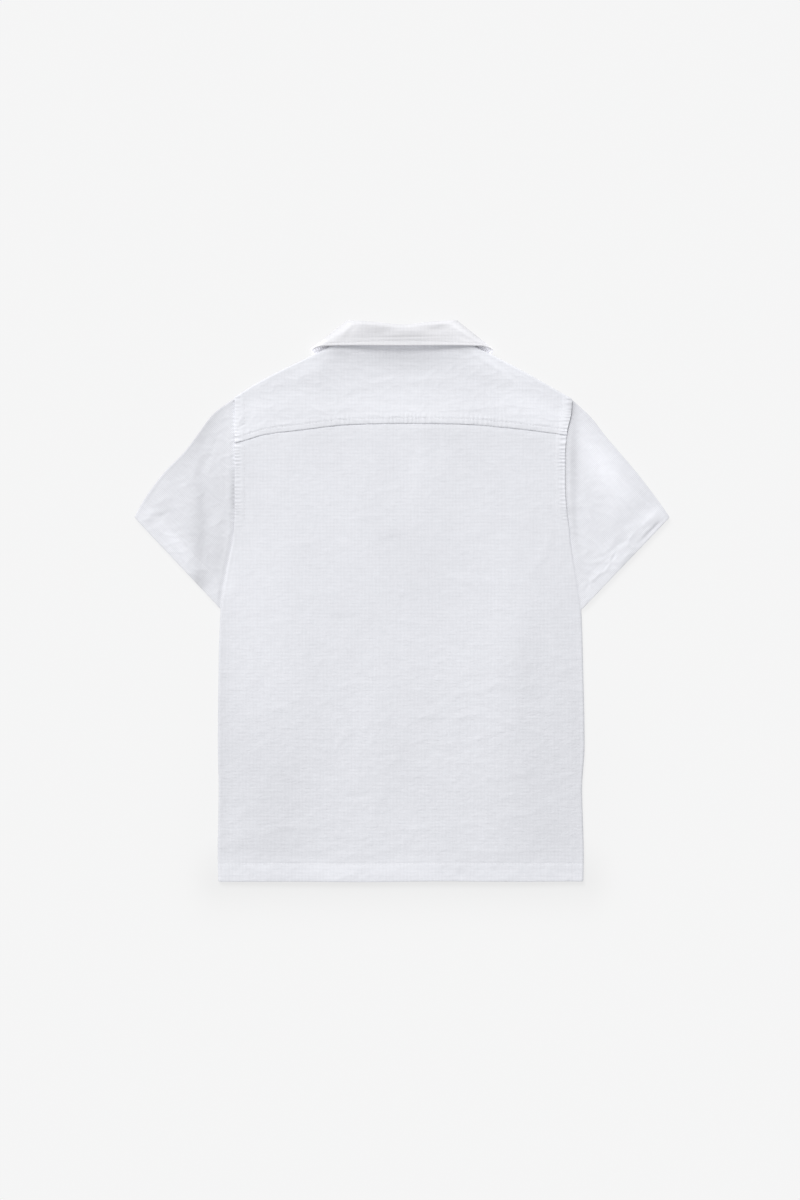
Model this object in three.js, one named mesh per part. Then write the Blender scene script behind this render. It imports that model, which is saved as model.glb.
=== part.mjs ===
// A child's short-sleeve linen shirt, lying face down with its back upwards.
// X is towards the wearer's right, Y towards the collar and Z up from the surface, in millimetres.
import * as THREE from "three";

// Cloth and seams
const wall = 1.2;
const hemWall = 1.8;
const seamGap = 0.3;
const armholeEase = 0.3; // further gap along the armholes, whose curves are cut in straight steps
const underarmEase = 1; // further gap between the body's side and the sleeve's fold below the armhole
const bodyHem = 17;
const hemStep = 0.8; // half the width of the step at the hem's upper edge
const layFlat = 4.8; // height of the flattened garment at its folded edges
const foldRadius = layFlat / 2;

// Body
const hemY = -280;
const hemRipple = 0.5;
const hemShortWave = 31;
const hemLongWave = 83;
const underarmY = 72;
const underarmBlend = 14; // length over which the side fold opens into the armhole
const crownHeight = 2.1;
const crownReach = 70;
const shoulderReach = 25;
const hemFlatten = 0.8;
const hemFlattenReach = 60;
const neckFlatLow = 185; // the crown fades between these heights, towards the neck
const neckFlatHigh = 215;
const edgeCalm = 12; // folds fade out this far from the body's edges

// Button stand
const standHalf = 12;
const standSlope = 9; // distance in which the lapped cloth comes down beside the stand
const buttonY = [170, 86, 2, -82, -166];
const buttonRadius = 5.5;
const buttonThick = 2;
const buttonSides = 20;
const holeRadius = 0.8;
const holeFromMiddle = 1.6;
const holeSides = 6;
const holeEighths = [1, 3, 5, 7]; // in eighths of a turn

// Collar leaves, which lie between the fronts and the surface
const neckHalf = 62;
const neckBlend = 8; // length over which the shoulder fold opens into the neckline
const leafTipX = 44;
const leafTipY = 148;
const leafOuterSlope = 2.17;
const leafInnerSlope = 1.44;
const leafMargin = 19; // the lift is complete this far outside the leaves
const leafSoftness = 22;
const collarBulk = 2.5; // extra height where the collar turns over the shoulder
const bulkNear = 4;
const bulkFar = 22;
const bulkEndX = 84;
const bulkFadeX = 40;

// Fineness of the meshes
const arcSteps = 3;
const outerColumns = 5;
const neckColumns = [46, 28]; // distances from the middle, on the back and yoke
const frontNeckColumns = [58, 53, 46, 38, 30, 21]; // and on the fronts, down to the button stand
const bodyRows = 15;
const yokeRows = 5;
const ringSide = 12;
const ringsBetween = 1;
const collarBetween = 1;

// Outline of the body's sides and armholes
const sides = [
  { y: -280, left: -184.0, right: 181.6 },
  { y: -255, left: -184.6, right: 182.0 },
  { y: -188, left: -183.6, right: 180.3 },
  { y: -145, left: -184.4, right: 182.8 },
  { y: -60, left: -183.6, right: 181.2 },
  { y: -9, left: -181.7, right: 179.5 },
  { y: 14, left: -178.4, right: 176.2 },
  { y: 39, left: -174.0, right: 172.2 },
  { y: 64, left: -169.2, right: 168.4 },
  { y: 88, left: -167.6, right: 165.0 },
  { y: 115, left: -167.6, right: 163.0 },
  { y: 140, left: -167.6, right: 163.0 },
  { y: 166, left: -167.6, right: 164.6 },
  { y: 188, left: -167.6, right: 169.4 },
  { y: 204, left: -167.6, right: 170.4 },
];

// Seam between the back panel and the yoke
const yokeSeam = [
  { x: -168, y: 157.5 },
  { x: -155, y: 161 },
  { x: -138, y: 166 },
  { x: -106, y: 170 },
  { x: -49, y: 176 },
  { x: 0, y: 177 },
  { x: 50, y: 176.6 },
  { x: 113, y: 172 },
  { x: 147, y: 168 },
  { x: 165, y: 165.6 },
];

// Shoulder folds and the back of the neck
const backTop = [
  { x: -167.6, y: 204 },
  { x: -149, y: 216 },
  { x: -125, y: 229 },
  { x: -101, y: 240.5 },
  { x: -80, y: 250.5 },
  { x: -62, y: 259.5 },
  { x: -48, y: 258.8 },
  { x: 0, y: 256.5 },
  { x: 48, y: 258.8 },
  { x: 62, y: 259.5 },
  { x: 80, y: 251 },
  { x: 101, y: 240.5 },
  { x: 125, y: 228 },
  { x: 149, y: 214.5 },
  { x: 170.4, y: 202.5 },
];

// Neckline of the fronts, between the shoulder folds
const frontNeck = [
  { x: -62, y: 259.5 },
  { x: -55, y: 238 },
  { x: -44, y: 217 },
  { x: -28, y: 202 },
  { x: 0, y: 196 },
  { x: 28, y: 202 },
  { x: 44, y: 217 },
  { x: 55, y: 238 },
  { x: 62, y: 259.5 },
];

// Sleeve rings from the hem to the armhole: a point on the upper fold, and the height on the underarm fold
const leftRings = [
  { x: -267.6, y: 84.5, under: -9 },
  { x: -259.5, y: 99.5, under: 14 },
  { x: -238, y: 129, under: 30 },
  { x: -217, y: 150.5, under: 45 },
  { x: -204, y: 168, under: 56 },
  { x: -190, y: 187, under: 65 },
  { x: -167.9, y: 204, under: underarmY },
];
const rightRings = [
  { x: 267.6, y: 84.5, under: -10 },
  { x: 259.5, y: 96.5, under: 13 },
  { x: 238, y: 125, under: 30 },
  { x: 218, y: 149, under: 45 },
  { x: 204, y: 165.5, under: 56 },
  { x: 190, y: 184, under: 65 },
  { x: 170.7, y: 202.5, under: underarmY },
];

const sleeveHemEnd = 0.95; // the hem's turned-up edge is just below the second ring
const armholeHug = 4; // how late the rings take up the armhole's curve

// Largest soft folds: centre, reach along and across, turn from the X axis in degrees, and height
const folds = [
  { x: -198, y: 98, along: 62, across: 7, turn: 90, height: -1.4 },
  { x: -226, y: 92, along: 42, across: 13, turn: 128, height: 0.9 },
  { x: 175, y: 118, along: 60, across: 5, turn: 90, height: -1.3 },
  { x: 203, y: 126, along: 36, across: 11, turn: -59, height: 1.6 },
  { x: 232, y: 84, along: 36, across: 8, turn: 48, height: -0.9 },
  { x: 12, y: 92, along: 80, across: 20, turn: 84, height: 0.8 },
  { x: -132, y: 40, along: 66, across: 26, turn: 88, height: 0.7 },
  { x: 92, y: -40, along: 90, across: 30, turn: 96, height: 0.6 },
  { x: -60, y: -150, along: 80, across: 24, turn: 86, height: -0.5 },
  { x: 110, y: -262, along: 40, across: 9, turn: 4, height: -0.5 },
];

// Collar stations from the left leaf's front end round to the middle of the back. Seam is on the neckline,
// roll is the outermost point of the fold, edge is on the outer edge, bend is the fold's radius, and lean
// turns the fold from upwards (0) to downwards (180).
const collarColumns = [
  "seamX", "seamY", "seamZ", "rollX", "rollY", "edgeX", "edgeY", "edgeZ", "bend", "lean",
];
const collarStations = [
  [-10, 196.7, 4.35, -9, 206, -44, 150, 1.35, 1.5, 180],
  [-28, 202.0, 4.35, -26, 214, -58, 181, 1.35, 1.5, 180],
  [-44, 217.0, 4.35, -40, 232, -72, 211, 1.35, 1.5, 180],
  [-56, 241.0, 5.30, -47, 260, -84, 237, 1.60, 1.9, 168],
  [-59, 254.0, 6.20, -49, 273, -90, 247, 4.00, 2.2, 135],
  [-60, 262.0, 7.40, -50, 278.9, -91, 250, 7.00, 2.4, 90],
  [-48, 258.8, 9.20, -43, 279.8, -79, 254.6, 12.2, 2.6, 12],
  [-27, 257.7, 7.90, -25, 278.6, -42, 255.6, 11.8, 2.6, 0],
  [0, 256.5, 7.20, 2, 276.2, 0, 255.4, 11.4, 2.6, 0],
].map((row) => Object.fromEntries(collarColumns.map((name, i) => [name, row[i]])));
const seamStart = 1.2; // the collar starts this far beyond the neckline
const standSteps = [0, 0.5];
const rollSteps = 5;
const fallSteps = [0.33, 0.67, 1];

const linen = { color: 0xe8e9ee, roughness: 0.92, metalness: 0 };
const collarLinen = { color: 0xededf1, roughness: 0.92, metalness: 0 };
const shell = { color: 0xf2f0ea, roughness: 0.35, metalness: 0 };

const lerp = THREE.MathUtils.lerp;
const smooth = THREE.MathUtils.smoothstep;
const level = Math.PI / 2; // angle at which an edge's rounding has become level

// Returns a smooth function through two columns of a table. It never overshoots, and is level past the ends.
function curveThrough(rows, from, to) {
  const keys = rows.map((row) => row[from]);
  const values = rows.map((row) => row[to]);
  const last = keys.length - 1;
  const rise = (i) => (values[i + 1] - values[i]) / (keys[i + 1] - keys[i]);
  const slope = (i) => {
    if (i === 0) return rise(0);
    if (i === last) return rise(last - 1);
    const before = rise(i - 1);
    const after = rise(i);
    return before * after > 0 ? (2 * before * after) / (before + after) : 0;
  };
  return (key) => {
    if (key <= keys[0]) return values[0];
    if (key >= keys[last]) return values[last];
    const i = keys.findIndex((k) => k > key) - 1;
    const span = keys[i + 1] - keys[i];
    const t = (key - keys[i]) / span;
    const between = lerp(values[i], values[i + 1], t * t * (3 - 2 * t));
    return between + span * t * (1 - t) * (slope(i) * (1 - t) - slope(i + 1) * t);
  };
}

const leftSide = curveThrough(sides, "y", "left");
const rightSide = curveThrough(sides, "y", "right");
const yokeLine = curveThrough(yokeSeam, "x", "y");
const backTopLine = curveThrough(backTop, "x", "y");
const neckLine = curveThrough(frontNeck, "x", "y");

function hemLine(x) {
  return hemY + hemRipple * Math.sin(x / hemShortWave) * Math.cos(x / hemLongWave);
}

function frontTopLine(x) {
  return Math.abs(x) < neckHalf ? neckLine(x) : backTopLine(x);
}

// Distance below the shoulder folds, which are carried on over the neck in a straight line.
function belowShoulder(x, y) {
  const inwards = neckHalf - Math.abs(x);
  const fold = inwards > 0 ? backTopLine(neckHalf) + inwards / 2 : backTopLine(x);
  return fold - y;
}

// Height that the collar lifts the fronts by.
function collarLift(x, y) {
  const out = Math.abs(x) - leafTipX;
  const slope = out > 0 ? leafOuterSlope : -leafInnerSlope;
  const inside = (y - leafTipY - slope * out) / Math.hypot(1, slope);
  const leaf = 2 * (wall + seamGap) * smooth(inside, -leafMargin - leafSoftness, -leafMargin);
  const nearFold = 1 - smooth(belowShoulder(x, y), bulkNear, bulkFar);
  const nearNeck = 1 - smooth(Math.abs(x), bulkEndX, bulkEndX + bulkFadeX);
  return leaf + collarBulk * nearFold * nearNeck;
}

// Height that the buttons lift the button stand by.
function standLift(x, y) {
  const across = 1 - smooth(Math.abs(x), standHalf + seamGap, standHalf + standSlope);
  const along = smooth(y, hemY + hemFlattenReach, buttonY.at(-1) - buttonRadius);
  return (buttonThick + seamGap) * across * along;
}

// Outer face of the left front, which faces the surface.
function leftUnder(x, y) {
  return Math.max(collarLift(x, y), standLift(x, y));
}

// Outer face of the right front, which laps over the left one at the button stand.
function rightUnder(x, y) {
  const lap = 1 - smooth(x, standHalf + seamGap, standHalf + standSlope);
  return leftUnder(x, y) + (clothThickness(y) + seamGap) * lap;
}

function foldHeight(x, y) {
  let height = 0;
  for (const fold of folds) {
    const turn = THREE.MathUtils.degToRad(fold.turn);
    const along = (x - fold.x) * Math.cos(turn) + (y - fold.y) * Math.sin(turn);
    const across = (y - fold.y) * Math.cos(turn) - (x - fold.x) * Math.sin(turn);
    height += fold.height * Math.exp(-((along / fold.along) ** 2) - (across / fold.across) ** 2);
  }
  return height;
}

// Outer face of the back panel and the yoke.
function backOver(x, y) {
  const fromSide = Math.min(x - leftSide(y), rightSide(y) - x);
  const fromFold = belowShoulder(x, y);
  const spread = smooth(fromSide, 0, crownReach) * smooth(fromFold, 0, shoulderReach);
  const neckFade = 1 - smooth(y, neckFlatLow, neckFlatHigh);
  const hemFade = hemFlatten * (1 - smooth(y, hemY, hemY + hemFlattenReach));
  const crown = (crownHeight * neckFade - hemFade) * spread;
  const waves = foldHeight(x, y) * smooth(fromSide, 0, edgeCalm) * smooth(fromFold, 0, edgeCalm);
  return collarLift(x, y) + layFlat + crown + waves;
}

function clothThickness(y) {
  return y < hemY + bodyHem ? hemWall : wall;
}

// Makes a closed geometry with its faces pointing outwards.
function closedGeometry(points, index) {
  let volume = 0;
  for (let k = 0; k < index.length; k += 3) {
    const [a, b, c] = [0, 1, 2].map((step) => points[index[k + step]]);
    volume += a.dot(new THREE.Vector3().crossVectors(b, c));
  }
  const geometry = new THREE.BufferGeometry();
  geometry.setAttribute("position", new THREE.Float32BufferAttribute(points.flatMap((p) => p.toArray()), 3));
  geometry.setIndex(volume < 0 ? index.toReversed() : index);
  geometry.computeVertexNormals();
  return geometry;
}

// Joins an outer and an inner grid of points into one closed wall. A ring also closes across its columns.
function wallBetween(outer, inner, ring = false) {
  const rows = outer.length;
  const columns = outer[0].length;
  const strips = ring ? columns : columns - 1;
  const at = (side, i, j) => (side * rows + i) * columns + (j % columns);
  const index = [];
  const quad = (a, b, c, d) => index.push(a, b, c, a, c, d);
  for (let i = 0; i < rows - 1; i += 1) {
    for (let j = 0; j < strips; j += 1) {
      quad(at(0, i, j), at(0, i, j + 1), at(0, i + 1, j + 1), at(0, i + 1, j));
      quad(at(1, i, j), at(1, i + 1, j), at(1, i + 1, j + 1), at(1, i, j + 1));
    }
    if (!ring) {
      quad(at(0, i, 0), at(0, i + 1, 0), at(1, i + 1, 0), at(1, i, 0));
      quad(at(0, i, strips), at(1, i, strips), at(1, i + 1, strips), at(0, i + 1, strips));
    }
  }
  for (let j = 0; j < strips; j += 1) {
    quad(at(0, 0, j), at(1, 0, j), at(1, 0, j + 1), at(0, 0, j + 1));
    quad(at(0, rows - 1, j), at(0, rows - 1, j + 1), at(1, rows - 1, j + 1), at(1, rows - 1, j));
  }
  return closedGeometry([...outer.flat(), ...inner.flat()], index);
}

// Steps from one edge of a panel to the other: the edge's rounding, the middle, and the other edge's
// rounding. The rounding ends half a seam gap from mid height, where the next piece meets it. Each place in
// the middle is a function of the panel's two edges.
function stepsBetweenEdges(places) {
  const seamAngle = Math.asin(seamGap / 2 / foldRadius);
  const round = Array.from({ length: arcSteps }, (_, i) => lerp(seamAngle, level, i / arcSteps));
  return [
    ...round.map((angle) => ({ edge: -1, angle })),
    ...places.map((place) => ({ edge: 0, place, angle: level })),
    ...round.toReversed().map((angle) => ({ edge: 1, angle })),
  ];
}

function evenShares(count) {
  return Array.from({ length: count + 1 }, (_, i) => i / count);
}

// Places spread evenly between two edges' roundings.
function evenPlaces(count) {
  return evenShares(count).map((share) => (start, end) => lerp(start + foldRadius, end - foldRadius, share));
}

// Columns from the left side to the neck and from the neck to the right side, where the shoulders' seams meet.
const neckSide = neckHalf + neckBlend / 2;
const leftColumns = evenShares(outerColumns).map(
  (share) => (start) => lerp(start + foldRadius, -neckSide, share),
);
const rightColumns = evenShares(outerColumns).map(
  (share) => (start, end) => lerp(neckSide, end - foldRadius, share),
);
const standColumns = [-1, 0, 1].map((side) => () => side * (standHalf + seamGap));
const slopeMiddle = standHalf + standSlope / 2;

// Columns at distances from the middle, on the left (side = -1) or the right (side = 1).
function columnsAt(distances, side) {
  const inOrder = side < 0 ? distances : distances.toReversed();
  return inOrder.map((distance) => () => side * distance);
}

const backColumns = [
  ...leftColumns,
  ...columnsAt(neckColumns, -1),
  ...standColumns,
  ...columnsAt(neckColumns, 1),
  ...rightColumns,
];
const leftFrontColumns = [
  ...leftColumns,
  ...columnsAt([...frontNeckColumns, slopeMiddle], -1),
  ...standColumns.slice(0, 2),
  () => standHalf - foldRadius,
];
const rightFrontColumns = [
  () => foldRadius - standHalf,
  ...standColumns.slice(1),
  ...columnsAt([...frontNeckColumns, slopeMiddle], 1),
  ...rightColumns,
];

// Place of a step between two edges, where "inset" is how far an edge's rounding has come in.
function placeStep(step, start, end, inset) {
  if (step.edge < 0) return start + inset;
  if (step.edge > 0) return end - inset;
  return step.place(start, end);
}

// Rounding of an edge at a step: how far in the outer and inner faces are, and how far they have turned
// towards mid height. "fold" is 1 for a folded edge and 0 for a plain one.
function rounding(step, fold, thickness) {
  const inner = foldRadius - thickness;
  const innerHeight = Math.max(inner * Math.sin(step.angle), seamGap / 2);
  return {
    outerIn: foldRadius * (1 - Math.cos(step.angle)),
    innerIn: foldRadius - lerp(foldRadius, inner, fold) * Math.cos(step.angle),
    outerTurn: foldRadius * (1 - Math.sin(step.angle)) * fold,
    innerTurn: (inner - innerHeight) * fold,
  };
}

// Share of a side's folded edge at a height: 1 along the side seam, 0 along the armhole.
function sideFold(x, y) {
  return 1 - smooth(y, underarmY - underarmBlend, underarmY);
}

// Share of the shoulder's folded edge at a place: 1 along the shoulder, 0 along the neckline.
function shoulderFold(x) {
  return smooth(Math.abs(x), neckHalf, neckHalf + neckBlend);
}

function plainEdge() {
  return 0;
}

// A panel between the lines low and high in Y, and left and right in X. "face" is the height of its outer
// face. The cloth lies under that face (down = 1) or over it (down = -1), and its edges turn the same way.
function panel({ low, high, left, right, columns, rows, leftFold, rightFold, topFold, face, down }) {
  const outer = [];
  const inner = [];
  for (const row of stepsBetweenEdges(rows)) {
    if (row.edge < 0) continue;
    const heightOn = (x, inset) => {
      const start = low(x) - foldRadius;
      return placeStep(row, start, high(x), inset);
    };
    const outerRow = [];
    const innerRow = [];
    for (const column of stepsBetweenEdges(columns)) {
      const leftX = left(heightOn(left(0), foldRadius));
      const rightX = right(heightOn(right(0), foldRadius));
      const middle = placeStep(column, leftX, rightX, foldRadius);
      const y = heightOn(middle, foldRadius);
      const thickness = clothThickness(y);
      const sideEdge = column.edge < 0 ? leftFold : rightFold;
      const side = rounding(column, sideEdge(middle, y), thickness);
      const top = rounding(row, topFold(middle), thickness);
      const outerX = placeStep(column, leftX, rightX, side.outerIn);
      const outerY = heightOn(outerX, top.outerIn);
      const innerX = placeStep(column, leftX, rightX, side.innerIn);
      const innerY = heightOn(innerX, top.innerIn);
      const z = face(outerX, outerY);
      const outerZ = z - down * (side.outerTurn + top.outerTurn);
      const innerZ = z - down * (thickness + side.innerTurn + top.innerTurn);
      outerRow.push(new THREE.Vector3(outerX, outerY, outerZ));
      innerRow.push(new THREE.Vector3(innerX, innerY, innerZ));
    }
    outer.push(outerRow);
    inner.push(innerRow);
  }
  return wallBetween(outer, inner);
}

// Rows of a panel that starts at the hem, with two rows at the hem's upper edge for its step in thickness.
function rowsFromHem(count) {
  const hem = [0, bodyHem / 2, bodyHem - hemStep].map((rise) => (start) => start + foldRadius + rise);
  const above = evenShares(count).map((share) => (start, end) =>
    lerp(start + foldRadius + bodyHem + hemStep, end - foldRadius, share),
  );
  return [...hem, ...above];
}

function backPanel() {
  return panel({
    low: hemLine,
    high: (x) => yokeLine(x) - seamGap / 2,
    left: leftSide,
    right: rightSide,
    columns: backColumns,
    rows: rowsFromHem(bodyRows),
    leftFold: sideFold,
    rightFold: sideFold,
    topFold: plainEdge,
    face: backOver,
    down: 1,
  });
}

function yokePanel() {
  return panel({
    low: (x) => yokeLine(x) + seamGap / 2,
    high: backTopLine,
    left: leftSide,
    right: rightSide,
    columns: backColumns,
    rows: evenPlaces(yokeRows),
    leftFold: sideFold,
    rightFold: sideFold,
    topFold: shoulderFold,
    face: backOver,
    down: 1,
  });
}

function leftFrontPanel() {
  return panel({
    low: hemLine,
    high: frontTopLine,
    left: leftSide,
    right: () => standHalf,
    columns: leftFrontColumns,
    rows: rowsFromHem(bodyRows),
    leftFold: sideFold,
    rightFold: plainEdge,
    topFold: shoulderFold,
    face: leftUnder,
    down: -1,
  });
}

function rightFrontPanel() {
  return panel({
    low: hemLine,
    high: frontTopLine,
    left: () => -standHalf,
    right: rightSide,
    columns: rightFrontColumns,
    rows: rowsFromHem(bodyRows),
    leftFold: plainEdge,
    rightFold: sideFold,
    topFold: shoulderFold,
    face: rightUnder,
    down: -1,
  });
}

// One flattened ring of a sleeve, from its underarm fold to its upper fold and back.
// "bend" is how far the ring's line lies beside a straight one, at a share of its length.
function sleeveRing(under, upper, thickness, bend) {
  const length = under.distanceTo(upper);
  const onLine = (distance) => {
    const share = distance / length;
    const point = under.clone().lerp(upper, share);
    point.x += bend(share);
    return point;
  };
  const outer = [];
  const inner = [];
  const add = (distance, innerDistance, z, innerZ) => {
    const out = onLine(distance);
    const within = onLine(innerDistance);
    outer.push(new THREE.Vector3(out.x, out.y, z));
    inner.push(new THREE.Vector3(within.x, within.y, innerZ));
  };
  const flat = evenShares(ringSide).map((share) => lerp(foldRadius, length - foldRadius, share));
  const innerRadius = foldRadius - thickness;
  const roundEnd = (centre, outwards, turn) => {
    for (let k = 1; k < 2 * arcSteps; k += 1) {
      const angle = turn * (-level + (k / arcSteps) * level);
      const reach = outwards * Math.cos(angle);
      const rise = Math.sin(angle);
      add(
        centre + foldRadius * reach,
        centre + innerRadius * reach,
        foldRadius * (1 + rise),
        foldRadius + innerRadius * rise,
      );
    }
  };
  for (const distance of flat) add(distance, distance, 0, thickness);
  roundEnd(length - foldRadius, 1, 1);
  for (const distance of flat.toReversed()) {
    const point = onLine(distance);
    const calm = smooth(Math.min(distance, length - distance), foldRadius, foldRadius + edgeCalm);
    const top = layFlat + foldHeight(point.x, point.y) * calm;
    add(distance, distance, top, top - thickness);
  }
  roundEnd(foldRadius, -1, -1);
  return { outer, inner };
}

// A sleeve as one flattened tube. Its underarm fold lies along the body's side.
function sleeve(rings, side, outwards) {
  const stations = rings.map((ring, t) => ({ ...ring, t }));
  const upperX = curveThrough(stations, "t", "x");
  const upperY = curveThrough(stations, "t", "y");
  const underY = curveThrough(stations, "t", "under");
  const ease = (y) => lerp(underarmEase, armholeEase, smooth(y, underarmY, underarmY + underarmBlend));
  const armholeX = (y) => side(y) + outwards * (seamGap + ease(y));
  const last = rings.length - 1;
  const underFold = (t) => new THREE.Vector2(armholeX(underY(t)), underY(t));
  const upperFold = (t) => new THREE.Vector2(upperX(t), upperY(t));
  const armholeBend = (share) => {
    const straight = underFold(last).lerp(upperFold(last), share);
    return armholeX(straight.y) - straight.x;
  };
  const between = evenShares(last * (ringsBetween + 1)).map((share) => share * last);
  const outer = [];
  const inner = [];
  for (const t of [...between, sleeveHemEnd].sort((a, b) => a - b)) {
    const thickness = t <= sleeveHemEnd ? hemWall : wall;
    const hug = (t / last) ** armholeHug;
    const ring = sleeveRing(underFold(t), upperFold(t), thickness, (share) => hug * armholeBend(share));
    outer.push(ring.outer);
    inner.push(ring.inner);
  }
  return wallBetween(outer, inner, true);
}

// All collar stations from the left leaf round the back to the right leaf, with more between them.
function collarPath() {
  const mirrored = collarStations.slice(0, -1).reverse().map((station) => ({
    ...station,
    seamX: -station.seamX,
    rollX: -station.rollX,
    edgeX: -station.edgeX,
  }));
  const stations = [...collarStations, ...mirrored].map((station, t) => ({ ...station, t }));
  const curves = Object.fromEntries(collarColumns.map((name) => [name, curveThrough(stations, "t", name)]));
  const last = stations.length - 1;
  return evenShares(last * (collarBetween + 1)).map((share) =>
    Object.fromEntries(collarColumns.map((name) => [name, curves[name](share * last)])),
  );
}

// Middle line of the collar's folded cloth at a station: points, each with the direction out of the fold.
function collarFold(station) {
  const half = wall + seamGap / 2;
  const seam = new THREE.Vector3(station.seamX, station.seamY, station.seamZ);
  const roll = new THREE.Vector3(station.rollX, station.rollY, station.seamZ);
  const edge = new THREE.Vector3(station.edgeX, station.edgeY, station.edgeZ);
  const rise = roll.clone().sub(seam).normalize();
  const side = Math.sign(station.seamX) || 1;
  const sideways = new THREE.Vector3(side * rise.y, -side * rise.x, 0);
  const lean = THREE.MathUtils.degToRad(station.lean);
  const over = sideways.multiplyScalar(Math.sin(lean)).add(new THREE.Vector3(0, 0, Math.cos(lean)));
  const start = seam.clone().addScaledVector(rise, seamStart);
  const standEnd = roll.clone().addScaledVector(rise, -station.bend - half);
  const fallStart = standEnd.clone().addScaledVector(over, 2 * station.bend);
  const line = [];
  for (const share of standSteps) {
    line.push({ point: start.clone().lerp(standEnd, share), out: over.clone().negate() });
  }
  for (let k = 0; k <= rollSteps; k += 1) {
    const angle = (Math.PI * k) / rollSteps;
    const out = over.clone().multiplyScalar(-Math.cos(angle)).addScaledVector(rise, Math.sin(angle));
    const centre = standEnd.clone().addScaledVector(over, station.bend);
    line.push({ point: centre.addScaledVector(out, station.bend), out });
  }
  const fall = edge.clone().sub(fallStart).normalize();
  const fallOut = over.clone().addScaledVector(fall, -over.dot(fall)).normalize();
  for (const share of fallSteps) {
    line.push({ point: fallStart.clone().lerp(edge, share), out: fallOut });
  }
  return line;
}

// One layer of the collar, from "near" to "far" out of the fold's middle line.
function collarLayer(near, far) {
  const lines = collarPath().map(collarFold);
  const moved = ({ point, out }, offset) => point.clone().addScaledVector(out, offset);
  const grid = (offset) => lines.map((line) => line.map((step) => moved(step, offset)));
  return wallBetween(grid(far), grid(near));
}

function buttonDisc() {
  const round = (centre, radius, sides) =>
    evenShares(sides).slice(1).map((share) => {
      const angle = 2 * Math.PI * share;
      return new THREE.Vector2(Math.cos(angle), Math.sin(angle)).multiplyScalar(radius).add(centre);
    });
  const disc = new THREE.Shape(round(new THREE.Vector2(), buttonRadius, buttonSides));
  for (const eighths of holeEighths) {
    const angle = (Math.PI / 4) * eighths;
    const centre = new THREE.Vector2(Math.cos(angle), Math.sin(angle)).multiplyScalar(holeFromMiddle);
    disc.holes.push(new THREE.Path(round(centre, holeRadius, holeSides)));
  }
  return new THREE.ExtrudeGeometry(disc, { depth: buttonThick, bevelEnabled: false });
}

function piece(name, geometry, look) {
  const mesh = new THREE.Mesh(geometry, new THREE.MeshStandardMaterial(look));
  mesh.name = name;
  return mesh;
}

const shirt = new THREE.Group();
shirt.add(piece("back_panel", backPanel(), linen));
shirt.add(piece("back_yoke", yokePanel(), linen));
shirt.add(piece("left_front", leftFrontPanel(), linen));
shirt.add(piece("right_front", rightFrontPanel(), linen));
shirt.add(piece("left_sleeve", sleeve(leftRings, leftSide, -1), linen));
shirt.add(piece("right_sleeve", sleeve(rightRings, rightSide, 1), linen));
shirt.add(piece("upper_collar", collarLayer(seamGap / 2, wall + seamGap / 2), collarLinen));
shirt.add(piece("under_collar", collarLayer(-seamGap / 2, -wall - seamGap / 2), collarLinen));
buttonY.forEach((y, i) => {
  const button = piece(`button_${i + 1}`, buttonDisc(), shell);
  button.position.y = y;
  shirt.add(button);
});

export default shirt;
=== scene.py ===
# Looks of a child's short-sleeve linen shirt, lying face down: cloth, sewing, linen, light and camera.
# Sizes are in millimetres, with X to the wearer's right, Y to the collar and Z up. Meshes are in metres.
import math
from types import SimpleNamespace

import bpy
import numpy as np
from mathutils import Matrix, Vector


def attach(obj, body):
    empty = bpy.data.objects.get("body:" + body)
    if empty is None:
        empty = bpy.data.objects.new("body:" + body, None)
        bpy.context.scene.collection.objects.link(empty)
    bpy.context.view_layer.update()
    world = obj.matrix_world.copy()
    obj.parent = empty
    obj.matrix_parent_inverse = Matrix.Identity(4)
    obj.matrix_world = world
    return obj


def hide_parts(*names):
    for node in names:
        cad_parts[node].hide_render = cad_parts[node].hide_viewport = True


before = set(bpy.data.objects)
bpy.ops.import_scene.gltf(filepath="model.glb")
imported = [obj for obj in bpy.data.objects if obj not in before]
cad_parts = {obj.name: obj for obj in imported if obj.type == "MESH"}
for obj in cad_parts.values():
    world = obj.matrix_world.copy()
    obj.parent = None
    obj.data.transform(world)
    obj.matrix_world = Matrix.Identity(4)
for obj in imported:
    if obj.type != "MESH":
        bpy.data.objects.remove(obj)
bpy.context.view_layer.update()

MM = 0.001
SEED = 7
UP = (0, 0, 1)
DOWN = (0, 0, -1)

# Cloth and seams
CLOTH = 0.65
COLLAR_CLOTH = 0.9
WALL = 1.2
SEAM_GAP = 0.3
ARMHOLE_TUCK = 1.6  # a sleeve goes this far, less the seam's gap, under the body's side
UNDERARM_TUCK = 2.2
LAY_FLAT = 4.8
FOLD_RADIUS = LAY_FLAT / 2
UNDERSIDE = 0.35  # lower layers lie this high, so that their sewing can stand out
SEAM_LAP = 5  # the back panel goes this far under the yoke
LAP_DROP = 1.2

# Body
HEM_Y = -280
HEM_RIPPLE = 0.5
HEM_SHORT_WAVE = 31
HEM_LONG_WAVE = 83
HEM_LEFT = -184
HEM_RIGHT = 182
BODY_HEM = 17
HEM_DEPTH = 1.5
UNDERARM_Y = 72
UNDERARM_BLEND = 14
CROWN_HEIGHT = 2.1
CROWN_REACH = 70
SHOULDER_REACH = 25
SHOULDER_MEET = 12
HEM_FLATTEN = 0.8
HEM_FLATTEN_REACH = 60
NECK_FLAT_LOW = 185
NECK_FLAT_HIGH = 215
EDGE_CALM = 12

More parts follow.
